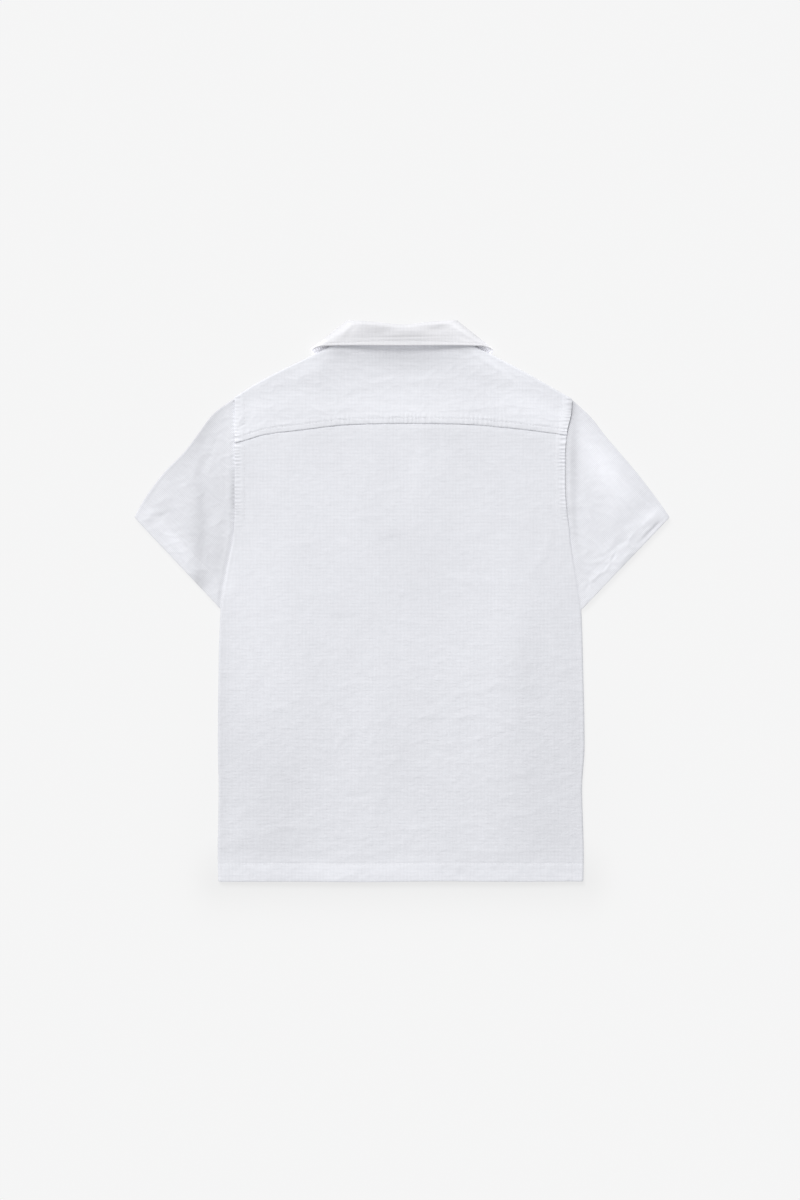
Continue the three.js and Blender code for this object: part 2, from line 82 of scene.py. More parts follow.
# Sleeves
SLEEVE_HEM = 17
ARMHOLE_HUG = 4  # a sleeve's rings bend to the armhole with this power of their share of its length
BOTTOM_STITCH = 0.3
SLEEVE_SLOPE = 1.2  # a sleeve goes down beside its armhole by this, and then by its dip
SLEEVE_DIP = 0.5
SLEEVE_SEWING = 0.5  # share of the hem's relief that shows on a sleeve
LOWER_SEWING = 0.3  # most relief of the sewing on the lower layer

# Button stand and buttons
STAND_HALF = 12
STAND_SLOPE = 9
BUTTON_Y = [170, 86, 2, -82, -166]
BUTTON_RADIUS = 5.5
BUTTON_THICK = 2
BUTTON_PROFILE = [
    (0, 0.55), (2.9, 0.5), (3.6, 0.15), (4.4, 0), (5.1, 0.2), (5.5, 0.8), (5.4, 1.5), (4.7, 2), (0, 2),
]
HOLE_RADIUS = 0.8
HOLE_FROM_MIDDLE = 1.6
LEAST_RADIUS = 0.02  # in place of 0 in a turned profile

# Collar
NECK_HALF = 62
NECK_BLEND = 8
LEAF_TIP_X = 44
LEAF_TIP_Y = 148
LEAF_OUTER_SLOPE = 2.17
LEAF_INNER_SLOPE = 1.44
LEAF_MARGIN = 19
LEAF_SOFTNESS = 22
COLLAR_BULK = 2.5
BULK_NEAR = 4
BULK_FAR = 22
BULK_END_X = 84
BULK_FADE_X = 40
BACK_LIFT_START = 90
BACK_LIFT_END = 15
NECK_HOLLOW = 2.2
COLLAR_FLARE = 0.5
SEAM_START = 1.2  # the collar starts this far above the neck seam
COLLAR_EDGE = 0.7
EDGE_WALL = 0.15  # thickness left at the collar's rounded edge

# Sewing
YOKE_STITCH = 6
ARMHOLE_STITCH = 10
COLLAR_STITCH = 5
STITCH_LENGTH = 2.3
STITCH_PITCH = 3.1
STITCH_RADIUS = 0.2
YOKE_ROW = (-166, 163)  # ends of the rows of stitches
HEM_ROW = (-178, 176)
STAND_ROW = (-278, 190)
BACK_ARMHOLE_ROW = (82, 157)
YOKE_ARMHOLE_ROW = (169, 198)
FRONT_ARMHOLE_ROW = (82, 196)
PUCKER_PITCH = 3.7
GROOVE_WIDTH = 0.9
STITCH_GROOVE = 0.3
YOKE_GROOVE = 0.32
YOKE_ROLL = 0.6  # the yoke's edge is rolled under by this, and raised above it by its rise
YOKE_RISE = 0.55
HEM_GROOVE = 0.45
HEM_RISE = 0.35
SEAM_RISE = 0.3
FRONT_SEWING = 0.8  # share of the sewing's relief that shows on the fronts
LADDER_START = 3  # ladders of puckers start this far outside the armhole
LADDER_REACH = 9
LADDER_HEIGHT = 0.9
# painted light on the armhole puckers' crests and painted shade in their gaps
PAINTED_LADDER_SHADING = 0.1
LEFT_ROLL = 0.9  # the armhole's edges go down by this
RIGHT_ROLL = 0.4
RIGHT_SHIFT = 1.7  # the right armhole's puckers are moved along by this

# Fineness of the meshes
BODY_LENGTH = 457
SIDE_BAND = 15  # the finer band beside a panel's sides
PANEL_HEM_ROWS = 12
SLEEVE_HEM_ROWS = 20
HEM_FOLD_ROWS = 5
SLEEVE_HEM_STATIONS = 22
SLEEVE_STATIONS = 62
SLEEVE_RING_STEPS = 100
SLEEVE_ARC_STEPS = 12
COLLAR_BETWEEN = 16
STAND_STEPS = 8
ROLL_STEPS = 12
FALL_STEPS = 36
BUTTON_SIDES = 48
HOLE_SIDES = 16

# Looks: linear colours, thread pitch in metres, light and floor, with angles in degrees
BODY_COLOUR = (0.760, 0.766, 0.802)
COLLAR_COLOUR = (0.815, 0.812, 0.836)
THREAD_COLOUR = (0.86, 0.86, 0.88)
BUTTON_COLOUR = (0.88, 0.87, 0.83)
SLEEVE_GRAIN = 42  # a sleeve's grain is turned by this many degrees
SLEEVE_RUMPLE = 0.9  # strength of the fine rumples
COLLAR_RUMPLE = 0.5
HEM_TONE = 0.022  # tones are added to the cloth's brightness, and shades taken from it
SLEEVE_HEM_TONE = 0.02
ARMHOLE_TONE = 0.012
# painted light: a bright line along the right armhole's edge, and on the left sleeve beside its armhole
LIT_EDGE_TONE = 0.13
LIT_SLEEVE_TONE = 0.14
# painted shade: the gaps between the sleeves' armhole puckers, and the sleeves' upper rims
GAP_SHADE = 0.2
LEFT_RIM_SHADE = 0.1
RIGHT_RIM_SHADE = 0.02
# painted light on the collar tips' faces that turn from the light, and painted shade in the roll of its fold
PAINTED_TIP_LIGHT = 0.7
ROLL_SHADE = 0.12
THREAD_PITCH = 0.0014  # two threads
FLOOR_ALBEDO = 0.16
FLOOR_GLOW = 0.76
FLOOR_DROP = 0.6
FLOOR_REACH = 3000
FLOOR_FINE_X = (-330, 330, 133)  # ends and number of the fine lines
FLOOR_FINE_Y = (-420, 120, 109)
# painted shadow of the shirt on the floor, below its hem and beside its sides
SHADE_BELOW = 0.075
SHADE_BESIDE = 0.012
WORLD_COLOUR = (0.985, 0.99, 1, 1)
WORLD_LIGHT = 0.56
KEY_LIGHT = 1.85
KEY_SPREAD = 30
KEY_FROM = (-0.38, 0.78, 0.9)

# Camera, in metres but for its lens and sensor
LENS = 85.0
SENSOR = 36.0
FRAME_HEIGHT = 1.2
CLOTH_HEIGHT = 0.006
CAMERA_X = -0.002
CAMERA_Y = 0.001
CAMERA_FAR = 20


def table(names, rows):
    """Columns of a table by name."""
    return dict(zip(names.split(), np.array(rows, float).T))


SIDES = table("y left right", [
    (-280, -184.0, 181.6), (-255, -184.6, 182.0), (-188, -183.6, 180.3), (-145, -184.4, 182.8),
    (-60, -183.6, 181.2), (-9, -181.7, 179.5), (14, -178.4, 176.2), (39, -174.0, 172.2),
    (64, -169.2, 168.4), (88, -167.6, 165.0), (115, -167.6, 163.0), (140, -167.6, 163.0),
    (166, -167.6, 164.6), (188, -167.6, 169.4), (204, -167.6, 170.4),
])
YOKE_SEAM = table("x y", [
    (-168, 157.5), (-155, 161), (-138, 166), (-106, 170), (-49, 176),
    (0, 177), (50, 176.6), (113, 172), (147, 168), (165, 165.6),
])
BACK_TOP = table("x y", [
    (-167.6, 204), (-149, 216), (-125, 229), (-101, 240.5), (-80, 250.5), (-62, 259.5), (-48, 258.8),
    (0, 256.5), (48, 258.8), (62, 259.5), (80, 251), (101, 240.5), (125, 228), (149, 214.5), (170.4, 202.5),
])
FRONT_NECK = table("x y", [
    (-62, 259.5), (-55, 238), (-44, 217), (-28, 202), (0, 196), (28, 202), (44, 217), (55, 238), (62, 259.5),
])
LEFT_RINGS = table("x y under", [
    (-267.6, 84.5, -9), (-259.5, 99.5, 14), (-238, 129, 30), (-217, 150.5, 45),
    (-204, 168, 56), (-190, 187, 65), (-167.9, 204, 72),
])
RIGHT_RINGS = table("x y under", [
    (267.6, 84.5, -10), (259.5, 96.5, 13), (238, 125, 30), (218, 149, 45),
    (204, 165.5, 56), (190, 184, 65), (170.7, 202.5, 72),
])
COLLAR_STATIONS = table("seamX seamY seamZ rollX rollY edgeX edgeY edgeZ bend lean", [
    (-10, 196.7, 4.35, -9, 206, -44, 150, 1.35, 1.5, 180),
    (-28, 202.0, 4.35, -26, 214, -58, 181, 1.35, 1.5, 180),
    (-44, 217.0, 4.35, -40, 232, -72, 211, 1.35, 1.5, 180),
    (-56, 241.0, 5.30, -47, 260, -84, 237, 1.60, 1.9, 168),
    (-59, 254.0, 6.20, -49, 273, -90, 247, 4.00, 2.2, 135),
    (-60, 262.0, 7.40, -50, 278.9, -91, 250, 7.00, 2.4, 90),
    (-48, 258.8, 9.20, -43, 279.8, -79, 254.2, 12.2, 2.6, 12),
    (-27, 257.7, 7.90, -25, 278.6, -42, 254.9, 11.8, 2.6, 0),
    (0, 256.5, 7.20, 2, 276.2, 0, 254.7, 11.4, 2.6, 0),
])

# Broad soft folds, as in the solids: centre, reach along and across, turn in degrees, and height
FOLDS = table("x y along across turn height", [
    (-198, 98, 62, 7, 90, -1.4), (-226, 92, 42, 13, 128, 0.9), (175, 118, 60, 5, 90, -1.3),
    (203, 126, 36, 11, -59, 1.6), (232, 84, 36, 8, 48, -0.9), (12, 92, 80, 20, 84, 0.8),
    (-132, 40, 66, 26, 88, 0.7), (92, -40, 90, 30, 96, 0.6), (-60, -150, 80, 24, 86, -0.5),
    (110, -262, 40, 9, 4, -0.5),
])
# Creases on the back panel. Bow is how far the ends bend away across the crease.
BODY_CREASES = table("x y along across turn bow height", [
    (18, 128, 30, 7, 80, 3, 0.5), (-12, 60, 9, 4.3, 20, 2, -0.5), (62, 20, 27, 2.9, -14, 3, 0.3),
    (-40, 84, 20, 2.9, 8, -2, 0.25), (-96, 58, 23, 2.9, 12, 3, 0.3), (-128, -22, 20, 2.5, 6, 2, 0.3),
    (-70, -18, 27, 2.5, -4, 3, -0.3), (10, -22, 20, 2.2, -10, 2, 0.3), (58, -48, 17, 2.2, -12, 3, -0.3),
    (30, -66, 17, 1.9, -6, -2, 0.35), (64, -92, 23, 1.7, 9, 3, 0.45), (28, -104, 20, 1.6, 14, 4, -0.4),
    (58, -116, 27, 1.9, 6, 4, 0.45), (8, -128, 17, 1.7, -8, 3, 0.35), (-34, -112, 19, 1.9, 10, 3, 0.3),
    (-84, -96, 23, 2.2, 4, -3, 0.3), (-130, -108, 19, 2.2, -6, 3, 0.28), (-62, -142, 19, 1.9, 62, 4, 0.3),
    (-20, -150, 23, 1.9, 4, 4, 0.4), (38, -152, 19, 1.7, -12, -3, -0.3), (84, -136, 27, 2.2, 18, 4, 0.4),
    (126, -118, 20, 2.2, -20, 3, 0.3), (150, -92, 19, 2.2, 36, 3, -0.35), (104, -176, 22, 2, 6, 3, 0.35),
    (54, -186, 17, 1.7, 12, 3, 0.3), (0, -186, 20, 1.9, -6, -3, 0.35), (-44, -196, 23, 2.2, 10, 3, -0.4),
    (-96, -180, 27, 2.4, -8, 4, 0.35), (-140, -196, 20, 2.3, 8, 3, 0.28), (-118, -226, 27, 2.4, 4, -3, 0.35),
    (-52, -236, 23, 2.2, -6, 3, 0.35), (12, -228, 23, 2, 4, 3, 0.4), (66, -222, 20, 1.9, -8, 3, 0.3),
    (118, -214, 23, 2.2, 14, 3, 0.35), (154, -190, 19, 2.2, 30, 3, -0.3), (84, -250, 23, 1.9, -3, 2, 0.4),
    (134, -248, 19, 1.9, 6, -2, 0.35), (20, -254, 27, 2, 2, 2, -0.35), (-46, -254, 20, 1.7, 3, 2, 0.3),
    (152, 84, 15, 2.4, 118, 2, -0.9), (141, 46, 26, 5, 62, 4, 0.35), (108, 30, 30, 5, 84, 4, 0.3),
    (-150, 96, 20, 4, 100, 3, 0.3), (-148, -64, 26, 4, 84, 3, 0.3), (160, -150, 60, 6, 92, 3, -0.4),
    (-160, -170, 47, 4.3, 88, 3, -0.3), (36, 154, 18, 4, 88, 2, -0.4), (-118, 132, 30, 6, 82, 4, 0.3),
    (96, 128, 30, 6, 98, 4, 0.3), (72, 66, 23, 2.9, 10, 3, 0.25),
])
# Creases on the yoke
YOKE_CREASES = table("x y along across turn bow height", [
    (84, 238, 20, 2.4, -32, 2, 0.5), (96, 231, 22, 2.6, -40, 2, 0.4), (108, 226, 16, 2.6, -46, 2, -0.3),
    (-96, 226, 30, 6, 24, 3, 0.4), (-40, 214, 34, 5, 6, 4, 0.3), (30, 220, 40, 5, -4, -4, 0.3),
    (-120, 196, 26, 5, 18, 3, 0.3), (110, 200, 30, 5, -14, 3, 0.3), (-70, 192, 30, 3, 4, 2, 0.3),
    (12, 196, 30, 3, 0, 2, -0.25), (66, 193, 26, 2.6, -4, 2, 0.3), (-162, 181, 3, 1.6, 70, 0, 0.7),
    (-159, 176, 3, 1.4, 20, 0, -0.6),
])
# Creases on the sleeves, whose upper and lower layers share them
SLEEVE_CREASES = table("x y along across turn bow height", [
    (173, 150, 46, 5, 92, 2, -0.5), (201, 128, 30, 9, -62, 3, 1.0), (-198, 92, 44, 6, 90, 2, -0.3),
    (-184, 82, 10, 6, 80, 1, 0.8), (-204, 19, 12, 6, 60, 1, -0.9), (-222, 50, 24, 4, 128, 2, 0.6),
    (-236, 87, 12, 1.8, 20, 2, -0.6), (-228, 92, 10, 1.6, 28, -2, 0.5), (-240, 100, 12, 2.2, 34, 2, 0.5),
    (-212, 120, 20, 3, 58, 3, 0.4), (-190, 150, 26, 3.4, 66, 3, -0.6), (-214, 74, 16, 2.4, 118, 2, 0.4),
    (-196, 46, 14, 2.4, 96, 3, 0.5), (-186, 22, 10, 2.4, 120, 2, 0.6), (-183, 10, 7, 3, 100, 1, 0.7),
    (-252, 84, 9, 4, 40, 1, 0.7), (-180, 120, 20, 3, 92, 2, 0.5),
    (250, 83, 19, 4.5, 38, 2, 1.1), (249, 70, 16, 1.8, 45, 0, -1.0), (228, 62, 11, 2.6, 66, 2, 0.6),
    (218, 57, 9, 2.0, 28, -2, -0.6), (212, 62, 12, 2.0, 52, 2, 0.5), (204, 50, 11, 1.6, 34, 2, 0.7),
    (212, 44, 10, 1.5, 62, 2, -0.6), (198, 40, 9, 1.5, 22, 1, 0.6), (206, 34, 9, 1.5, 58, 2, 0.6),
    (194, 24, 9, 1.6, 46, 1, 0.6), (186, 16, 8, 1.6, 70, 1, -0.5), (224, 100, 22, 3.4, -50, 3, 0.5),
    (188, 82, 20, 3, -72, 3, 0.5), (242, 104, 14, 2.6, -44, 2, -0.4), (190, 152, 22, 3, -70, 2, 0.5),
])
# Creases of the collar's fall, seen from above
COLLAR_CREASES = table("x y along across turn bow height", [
    (-22, 267, 15, 5, 10, 2, -1.2), (35, 271, 13, 4, 4, 2, -0.9), (-4, 263.2, 36, 1.0, 1, 0, -0.5),
    (60, 268, 14, 3, -32, 2, 0.6), (-60, 264, 12, 3, 40, 2, 0.5), (8, 269, 16, 3, 0, 2, 0.5),
    (-48, 273, 8, 3, 50, 0, -0.5), (70, 259, 12, 1.6, -24, 0, -0.3),
])
# Patches where the cloth is a little lighter or darker. Some are the cloth's own unevenness; many are
# painted shade in hollows, troughs and creases, beside the armholes, under the collar's edge, along the
# sides and over the lower body, and painted light on ridges and in the shade under the collar's edge.
TONE_AND_SHADE_PATCHES = table("x y along across turn height", [
    (-130, -12, 74, 30, 90, 0.03), (-7, 61, 14, 12, 0, -0.03), (168, -130, 150, 14, 90, -0.04),
    (-181, -140, 140, 8, 90, -0.05), (18, 126, 34, 12, 80, 0.03), (36, 164, 22, 9, 0, -0.03),
    (-40, -232, 44, 26, 20, 0.01), (-30, -130, 80, 18, 86, 0.01), (134, -170, 110, 40, 90, -0.055),
    (-130, -196, 80, 46, 90, -0.055), (8, -120, 100, 30, 84, -0.022), (0, -200, 260, 90, 0, -0.028),
    (128, -60, 60, 14, 80, -0.03), (-96, 140, 40, 16, 80, -0.005), (-64, 120, 60, 50, 0, 0.02),
    (70, 60, 50, 20, 100, 0.012), (-50, -268, 90, 7, 0, 0.06), (-142, -246, 44, 8, 0, -0.05),
    (150, -236, 36, 24, 0, -0.03), (178, -150, 120, 9, 90, -0.03), (70, -268, 50, 8, 0, -0.035),
    (0, 190, 130, 10, 0, 0.035), (60, 184, 60, 6, 0, 0.02), (0, 222, 150, 40, 0, 0.03),
    (-92, 236, 22, 12, 30, 0.04), (100, 240, 34, 16, -30, 0.10), (-150, 184, 22, 14, 60, 0.06),
    (125, 192, 40, 14, -20, 0.06), (163, 188, 18, 6, 80, 0.09), (110, 128, 50, 30, 90, 0.03),
    (0, 235, 36, 8, 0, -0.09), (0, 244, 60, 6, 0, -0.19), (-62, 249, 10, 4, 0, -0.14),
    (62, 250, 10, 3, 0, -0.14), (0, 254, 44, 4, 0, 0.34), (76, 241, 24, 9, -30, 0.05),
    (142, 190, 20, 9, 0, 0.05), (-165, 170, 30, 6, 90, 0.05), (203, 130, 38, 16, -62, 0.16),
    (172, 150, 52, 6, 92, -0.12), (171, 192, 16, 5, 84, -0.12), (190, 183, 26, 4, -46, -0.03),
    (172, 80, 22, 4, 95, -0.06), (176, 30, 54, 5, 95, -0.02), (248, 84, 18, 6, 40, 0.06),
    (206, 44, 22, 12, 40, 0.03), (249, 70, 16, 2.2, 45, -0.08), (226, 42, 17, 3, 47, -0.12),
    (216, 98, 26, 12, 50, 0.03), (222, 62, 20, 4, 45, -0.04), (-200, 66, 60, 10, 88, -0.13),
    (-204, 17, 13, 7, 50, -0.17), (-193, 178, 34, 6, 52, -0.07), (-204, 160, 50, 9, 55, -0.05),
    (-184, 96, 44, 8, 90, -0.06), (-170, 168, 30, 5, 90, 0.06), (-170, 104, 18, 4, 90, -0.07),
    (-262, 86, 10, 9, 0, 0.03), (-224, 56, 28, 10, 128, 0.07), (-184, 44, 22, 7, 80, -0.08),
    (-186, 80, 10, 6, 80, 0.05), (-174, 16, 22, 7, 80, 0.05), (-238, 88, 12, 3, 20, -0.05),
])
# Patches on the collar's upper faces: painted shade in two of its creases and along the lower middle of its
# fall, and lighter patches along its edge and towards its top
COLLAR_TONE_AND_SHADE_PATCHES = table("x y along across turn height", [
    (-2, 262, 46, 6, 0, -0.15), (-22, 267, 16, 6, 10, -0.05), (35, 271, 13, 4, 4, -0.04),
    (0, 257.6, 90, 2.2, 0, 0.07), (60, 264, 20, 7, -40, 0.07), (-64, 262, 22, 6, 40, 0.05),
    (60, 270, 20, 7, -40, 0.04), (-50, 275, 10, 6, 0, 0.05), (0, 277, 50, 3, 0, 0.05),
    (50, 277, 12, 5, 0, 0.04),
])


# Outlines and lifts
def smooth(value, low, high):
    """Goes smoothly from 0 at low to 1 at high."""
    share = np.clip((np.asarray(value, float) - low) / (high - low), 0, 1)
    return share * share * (3 - 2 * share)


def fade(value, low, high):
    """Goes smoothly from 1 at low to 0 at high."""
    return 1 - smooth(value, low, high)


def curve_through(columns, key, value):
    """Smooth function through two columns of a table, which never overshoots and is level past the ends."""
    keys, values = columns[key], columns[value]
    rise = np.diff(values) / np.diff(keys)
    slope = np.zeros(len(keys))
    slope[0], slope[-1] = rise[0], rise[-1]
    both = rise[:-1] * rise[1:]
    turning = both <= 0
    slope[1:-1] = np.where(turning, 0, 2 * both / np.where(turning, 1, rise[:-1] + rise[1:]))

    def curve(at):
        at = np.clip(np.asarray(at, float), keys[0], keys[-1])
        i = np.clip(np.searchsorted(keys, at, side="right") - 1, 0, len(keys) - 2)
        span = keys[i + 1] - keys[i]
        t = (at - keys[i]) / span
        between = values[i] + (values[i + 1] - values[i]) * t * t * (3 - 2 * t)
        return between + span * t * (1 - t) * (slope[i] * (1 - t) - slope[i + 1] * t)

    return curve


left_side = curve_through(SIDES, "y", "left")
right_side = curve_through(SIDES, "y", "right")
yoke_line = curve_through(YOKE_SEAM, "x", "y")
back_top_line = curve_through(BACK_TOP, "x", "y")
neck_line = curve_through(FRONT_NECK, "x", "y")


def hem_line(x):
    """The body's lower edge, which ripples a little."""
    return HEM_Y + HEM_RIPPLE * np.sin(x / HEM_SHORT_WAVE) * np.cos(x / HEM_LONG_WAVE)


def front_top_line(x):
    """Top edge of the fronts: the shoulder folds and the neck between them."""
    return np.where(np.abs(x) < NECK_HALF, neck_line(x), back_top_line(x))


def below_shoulder(x, y):
    """Distance below the shoulder folds, which are carried on over the neck in a straight line."""
    inwards = NECK_HALF - np.abs(x)
    fold = np.where(inwards > 0, back_top_line(NECK_HALF) + inwards / 2, back_top_line(x))
    return fold - y


def collar_lift(x, y):
    """Height that the collar lifts the fronts by."""
    out = np.abs(x) - LEAF_TIP_X
    slope = np.where(out > 0, LEAF_OUTER_SLOPE, -LEAF_INNER_SLOPE)
    inside = (y - LEAF_TIP_Y - slope * out) / np.hypot(1, slope)
    leaf = 2 * (WALL + SEAM_GAP) * smooth(inside, -LEAF_MARGIN - LEAF_SOFTNESS, -LEAF_MARGIN)
    near_fold = fade(below_shoulder(x, y), BULK_NEAR, BULK_FAR)
    near_neck = fade(np.abs(x), BULK_END_X, BULK_END_X + BULK_FADE_X)
    return leaf + COLLAR_BULK * near_fold * near_neck


def back_lift(x, y):
    """The collar's lift as it comes through to the back, where the cloth evens it out."""
    out = np.maximum(np.abs(x) - LEAF_TIP_X / 2, 0)
    bent = out**2 / (out + LEAF_TIP_X)
    inside = (y - LEAF_TIP_Y - LEAF_OUTER_SLOPE * bent) / math.hypot(1, LEAF_OUTER_SLOPE)
    leaf = 2 * (WALL + SEAM_GAP) * smooth(inside, -BACK_LIFT_START, BACK_LIFT_END)
    near_fold = fade(below_shoulder(x, y), BULK_NEAR, 2 * BULK_FAR)
    near_neck = fade(np.abs(x), BULK_END_X - BULK_FADE_X / 2, BULK_END_X + BULK_FADE_X)
    return leaf + COLLAR_BULK * near_fold * near_neck


def stand_lift(x, y):
    """Height that the buttons lift the button stand by."""
    across = fade(np.abs(x), STAND_HALF + SEAM_GAP, STAND_HALF + STAND_SLOPE)
    along = smooth(y, HEM_Y + HEM_FLATTEN_REACH, BUTTON_Y[-1] - BUTTON_RADIUS)
    return (BUTTON_THICK + SEAM_GAP) * across * along


def front_lift(x, y):
    """Height that the collar and the buttons lift the fronts by, evened out at the shoulder folds."""
    lifted = np.maximum(collar_lift(x, y), stand_lift(x, y))
    near_fold = fade(below_shoulder(x, y), 0, SHOULDER_MEET)
    return lifted + (back_lift(x, y) - lifted) * near_fold


# Creases
def relief(rows, x, y):
    """Summed height of a table's creases at places. They are straight where the table has no bow."""
    height = np.zeros(np.broadcast(x, y).shape)
    bows = rows.get("bow", np.zeros(len(rows["x"])))
    for k, bow in enumerate(bows):
        turn = math.radians(rows["turn"][k])
        from_x, from_y = x - rows["x"][k], y - rows["y"][k]
        along = (from_x * math.cos(turn) + from_y * math.sin(turn)) / rows["along"][k]
        across = from_y * math.cos(turn) - from_x * math.sin(turn) - bow * along**2
        height += rows["height"][k] * np.exp(-(along**2) - (across / rows["across"][k]) ** 2)
    return height


def crumples(seed, count, x_range, y_range, length, width, height, turn=0, spread=25):
    """Table of small creases strewn over a rectangle, around one direction."""
    draw = np.random.default_rng(SEED + seed)
    return {
        "x": draw.uniform(*x_range, count),
        "y": draw.uniform(*y_range, count),
        "along": length * draw.uniform(0.4, 1.3, count),
        "across": width * draw.uniform(0.7, 1.5, count),
        "turn": turn + spread * draw.standard_normal(count),
        "bow": draw.uniform(-2, 2, count),
        "height": height * draw.uniform(0.3, 1, count) * draw.choice([-1, 1], count),
    }


def crease_net(x, y, seed, long_wave, short_wave, height):
    """Irregular net of small sharp creases, longer along X than along Y."""
    draw = np.random.default_rng(SEED + seed)
    total = np.zeros(np.broadcast(x, y).shape)
    waves = 26
    sharpness = 2.2
    middle = 0.35
    for _ in range(waves):
        turn = draw.uniform(0, math.pi)
        stretch = draw.uniform(0.6, 1.6)
        wave_x, wave_y = math.cos(turn) / (long_wave * stretch), math.sin(turn) / (short_wave * stretch)
        total += np.sin(2 * math.pi * (x * wave_x + y * wave_y) + draw.uniform(0, 2 * math.pi))
    level = total * math.sqrt(2 / waves)
    return height * (np.exp(-np.abs(level) * sharpness) - middle)


BODY_CRUMPLES = [
    crumples(1, 150, (-178, 176), (-262, -60), 15, 2.0, 0.18, 0, 20),
    crumples(2, 90, (-178, 172), (-60, 165), 16, 2.4, 0.15, 0, 22),
    crumples(3, 40, (0, 120), (-150, -70), 12, 1.6, 0.2, 8, 14),
]
YOKE_CRUMPLES = crumples(4, 60, (-160, 160), (172, 250), 16, 2.2, 0.14, 0, 24)
LEFT_CRUMPLES = crumples(5, 60, (-262, -172), (-5, 196), 13, 1.9, 0.24, 70, 36)
RIGHT_CRUMPLES = crumples(6, 60, (172, 262), (-5, 196), 13, 1.9, 0.24, -60, 36)
LEFT_FRONT_CRUMPLES = crumples(7, 130, (-178, 0), (-262, 200), 16, 2.3, 0.2, 0, 26)
RIGHT_FRONT_CRUMPLES = crumples(8, 130, (0, 176), (-262, 200), 16, 2.3, 0.2, 0, 26)
HEM_RIPPLES = crumples(9, 60, (-178, 176), (-279, -264), 4, 3.2, 0.32, 84, 16)


# Sewing and faces of the body
def groove(distance, at, depth, width=GROOVE_WIDTH):
    """Dent that a row of stitches pulls into the cloth."""
    return -depth * np.exp(-(((distance - at) / width) ** 2))


def puckers(along, distance, reach, height, pitch=PUCKER_PITCH):
    """Small ladder-like puckers between a seam and its stitches, uneven along the seam."""
    wander = 1.3 * np.sin(along / 7.3) + 0.8 * np.sin(along / 3.1 + 2)
    strength = 0.65 + 0.35 * np.sin(along / 11.7 + 1)
    window = smooth(distance, -1, 1.5) * fade(distance, reach - 2, reach + 1.5)
    return height * strength * window * np.sin(2 * math.pi * (along + wander) / pitch)


def hem_relief(rise, along, hem):
    """Raised turned-up band below a row of stitches."""
    band = HEM_RISE * fade(rise, hem - 1, hem + 1.5)
    small = puckers(along, hem - rise, 5, 0.1, 5.2)
    return band + groove(rise, hem, HEM_GROOVE) + groove(rise, hem - 1.8, 0.1) + small


def armhole_relief(inside, y, roll_depth):
    """Relief of the stitched band beside an armhole, by the distance inside it."""
    open_part = smooth(y, UNDERARM_Y, UNDERARM_Y + 18)
    roll = -roll_depth * fade(inside, 0, 1.8)
    ladder = puckers(y, inside + LADDER_START, LADDER_REACH, LADDER_HEIGHT)
    ladder = ladder * (0.7 + 0.3 * np.sin(y / 17 + 0.6))
    stitched = groove(inside, ARMHOLE_STITCH, STITCH_GROOVE) + ladder
    rows = stitched + puckers(y, inside, ARMHOLE_STITCH, 0.1, 4.4)
    band = SEAM_RISE * fade(inside, ARMHOLE_STITCH - 1, ARMHOLE_STITCH + 2)
    return open_part * (roll + rows + band)


def body_sewing(x, y):
    """Relief of the sewing along the body's side seams and armholes."""
    from_left, from_right = x - left_side(y), right_side(y) - x
    side_seam = groove(np.minimum(from_left, from_right), 4.5, 0.05, 1.4) * fade(y, 55, 72)
    left_armhole = armhole_relief(from_left, y, LEFT_ROLL)
    return side_seam + left_armhole + armhole_relief(from_right, y + RIGHT_SHIFT, RIGHT_ROLL)


def back_base(x, y):
    """Outer face of the back's solids."""
    from_side = np.minimum(x - left_side(y), right_side(y) - x)
    from_fold = below_shoulder(x, y)
    spread = smooth(from_side, 0, CROWN_REACH) * smooth(from_fold, 0, SHOULDER_REACH)
    neck_fade = fade(y, NECK_FLAT_LOW, NECK_FLAT_HIGH)
    hem_fade = HEM_FLATTEN * fade(y, HEM_Y, HEM_Y + HEM_FLATTEN_REACH)
    crown = (CROWN_HEIGHT * neck_fade - hem_fade) * spread
    calm = smooth(from_side, 0, EDGE_CALM) * smooth(from_fold, 0, EDGE_CALM)
    hollow = NECK_HOLLOW * smooth(y, 236, 253) * fade(np.abs(x - 2), 30, 78)
    return back_lift(x, y) + LAY_FLAT - hollow + crown + relief(FOLDS, x, y) * calm


def edge_calm(x, y):
    """Fades creases out beside the folded sides and shoulders."""
    from_side = np.minimum(x - left_side(y), right_side(y) - x)
    return smooth(from_side, 0, 5) * smooth(below_shoulder(x, y), 0, 6)


def body_net(x, y):
    """Fine creases of the whole back, stronger in its lower half."""
    low = 0.55 + 0.45 * fade(y, -140, 40)
    return low * (crease_net(x, y, 20, 24, 14, 0.22) + crease_net(x, y, 21, 50, 40, 0.3))


def back_face(x, y):
    """Outer face of the back panel, which goes down under the yoke at its seam."""
    from_seam = yoke_line(x) - y
    creases = relief(BODY_CREASES, x, y) + sum(relief(rows, x, y) for rows in BODY_CRUMPLES)
    creases = creases + relief(HEM_RIPPLES, x, y) + body_net(x, y)
    gathers = puckers(x, from_seam, 4, 0.1, 4.6)
    lap = LAP_DROP * fade(from_seam, -1.6, 0.1) + 0.25 * fade(from_seam, 0, 5)
    hem = hem_relief(y - hem_line(x), x, BODY_HEM)
    return back_base(x, y) + edge_calm(x, y) * (creases + gathers) + body_sewing(x, y) + hem - lap


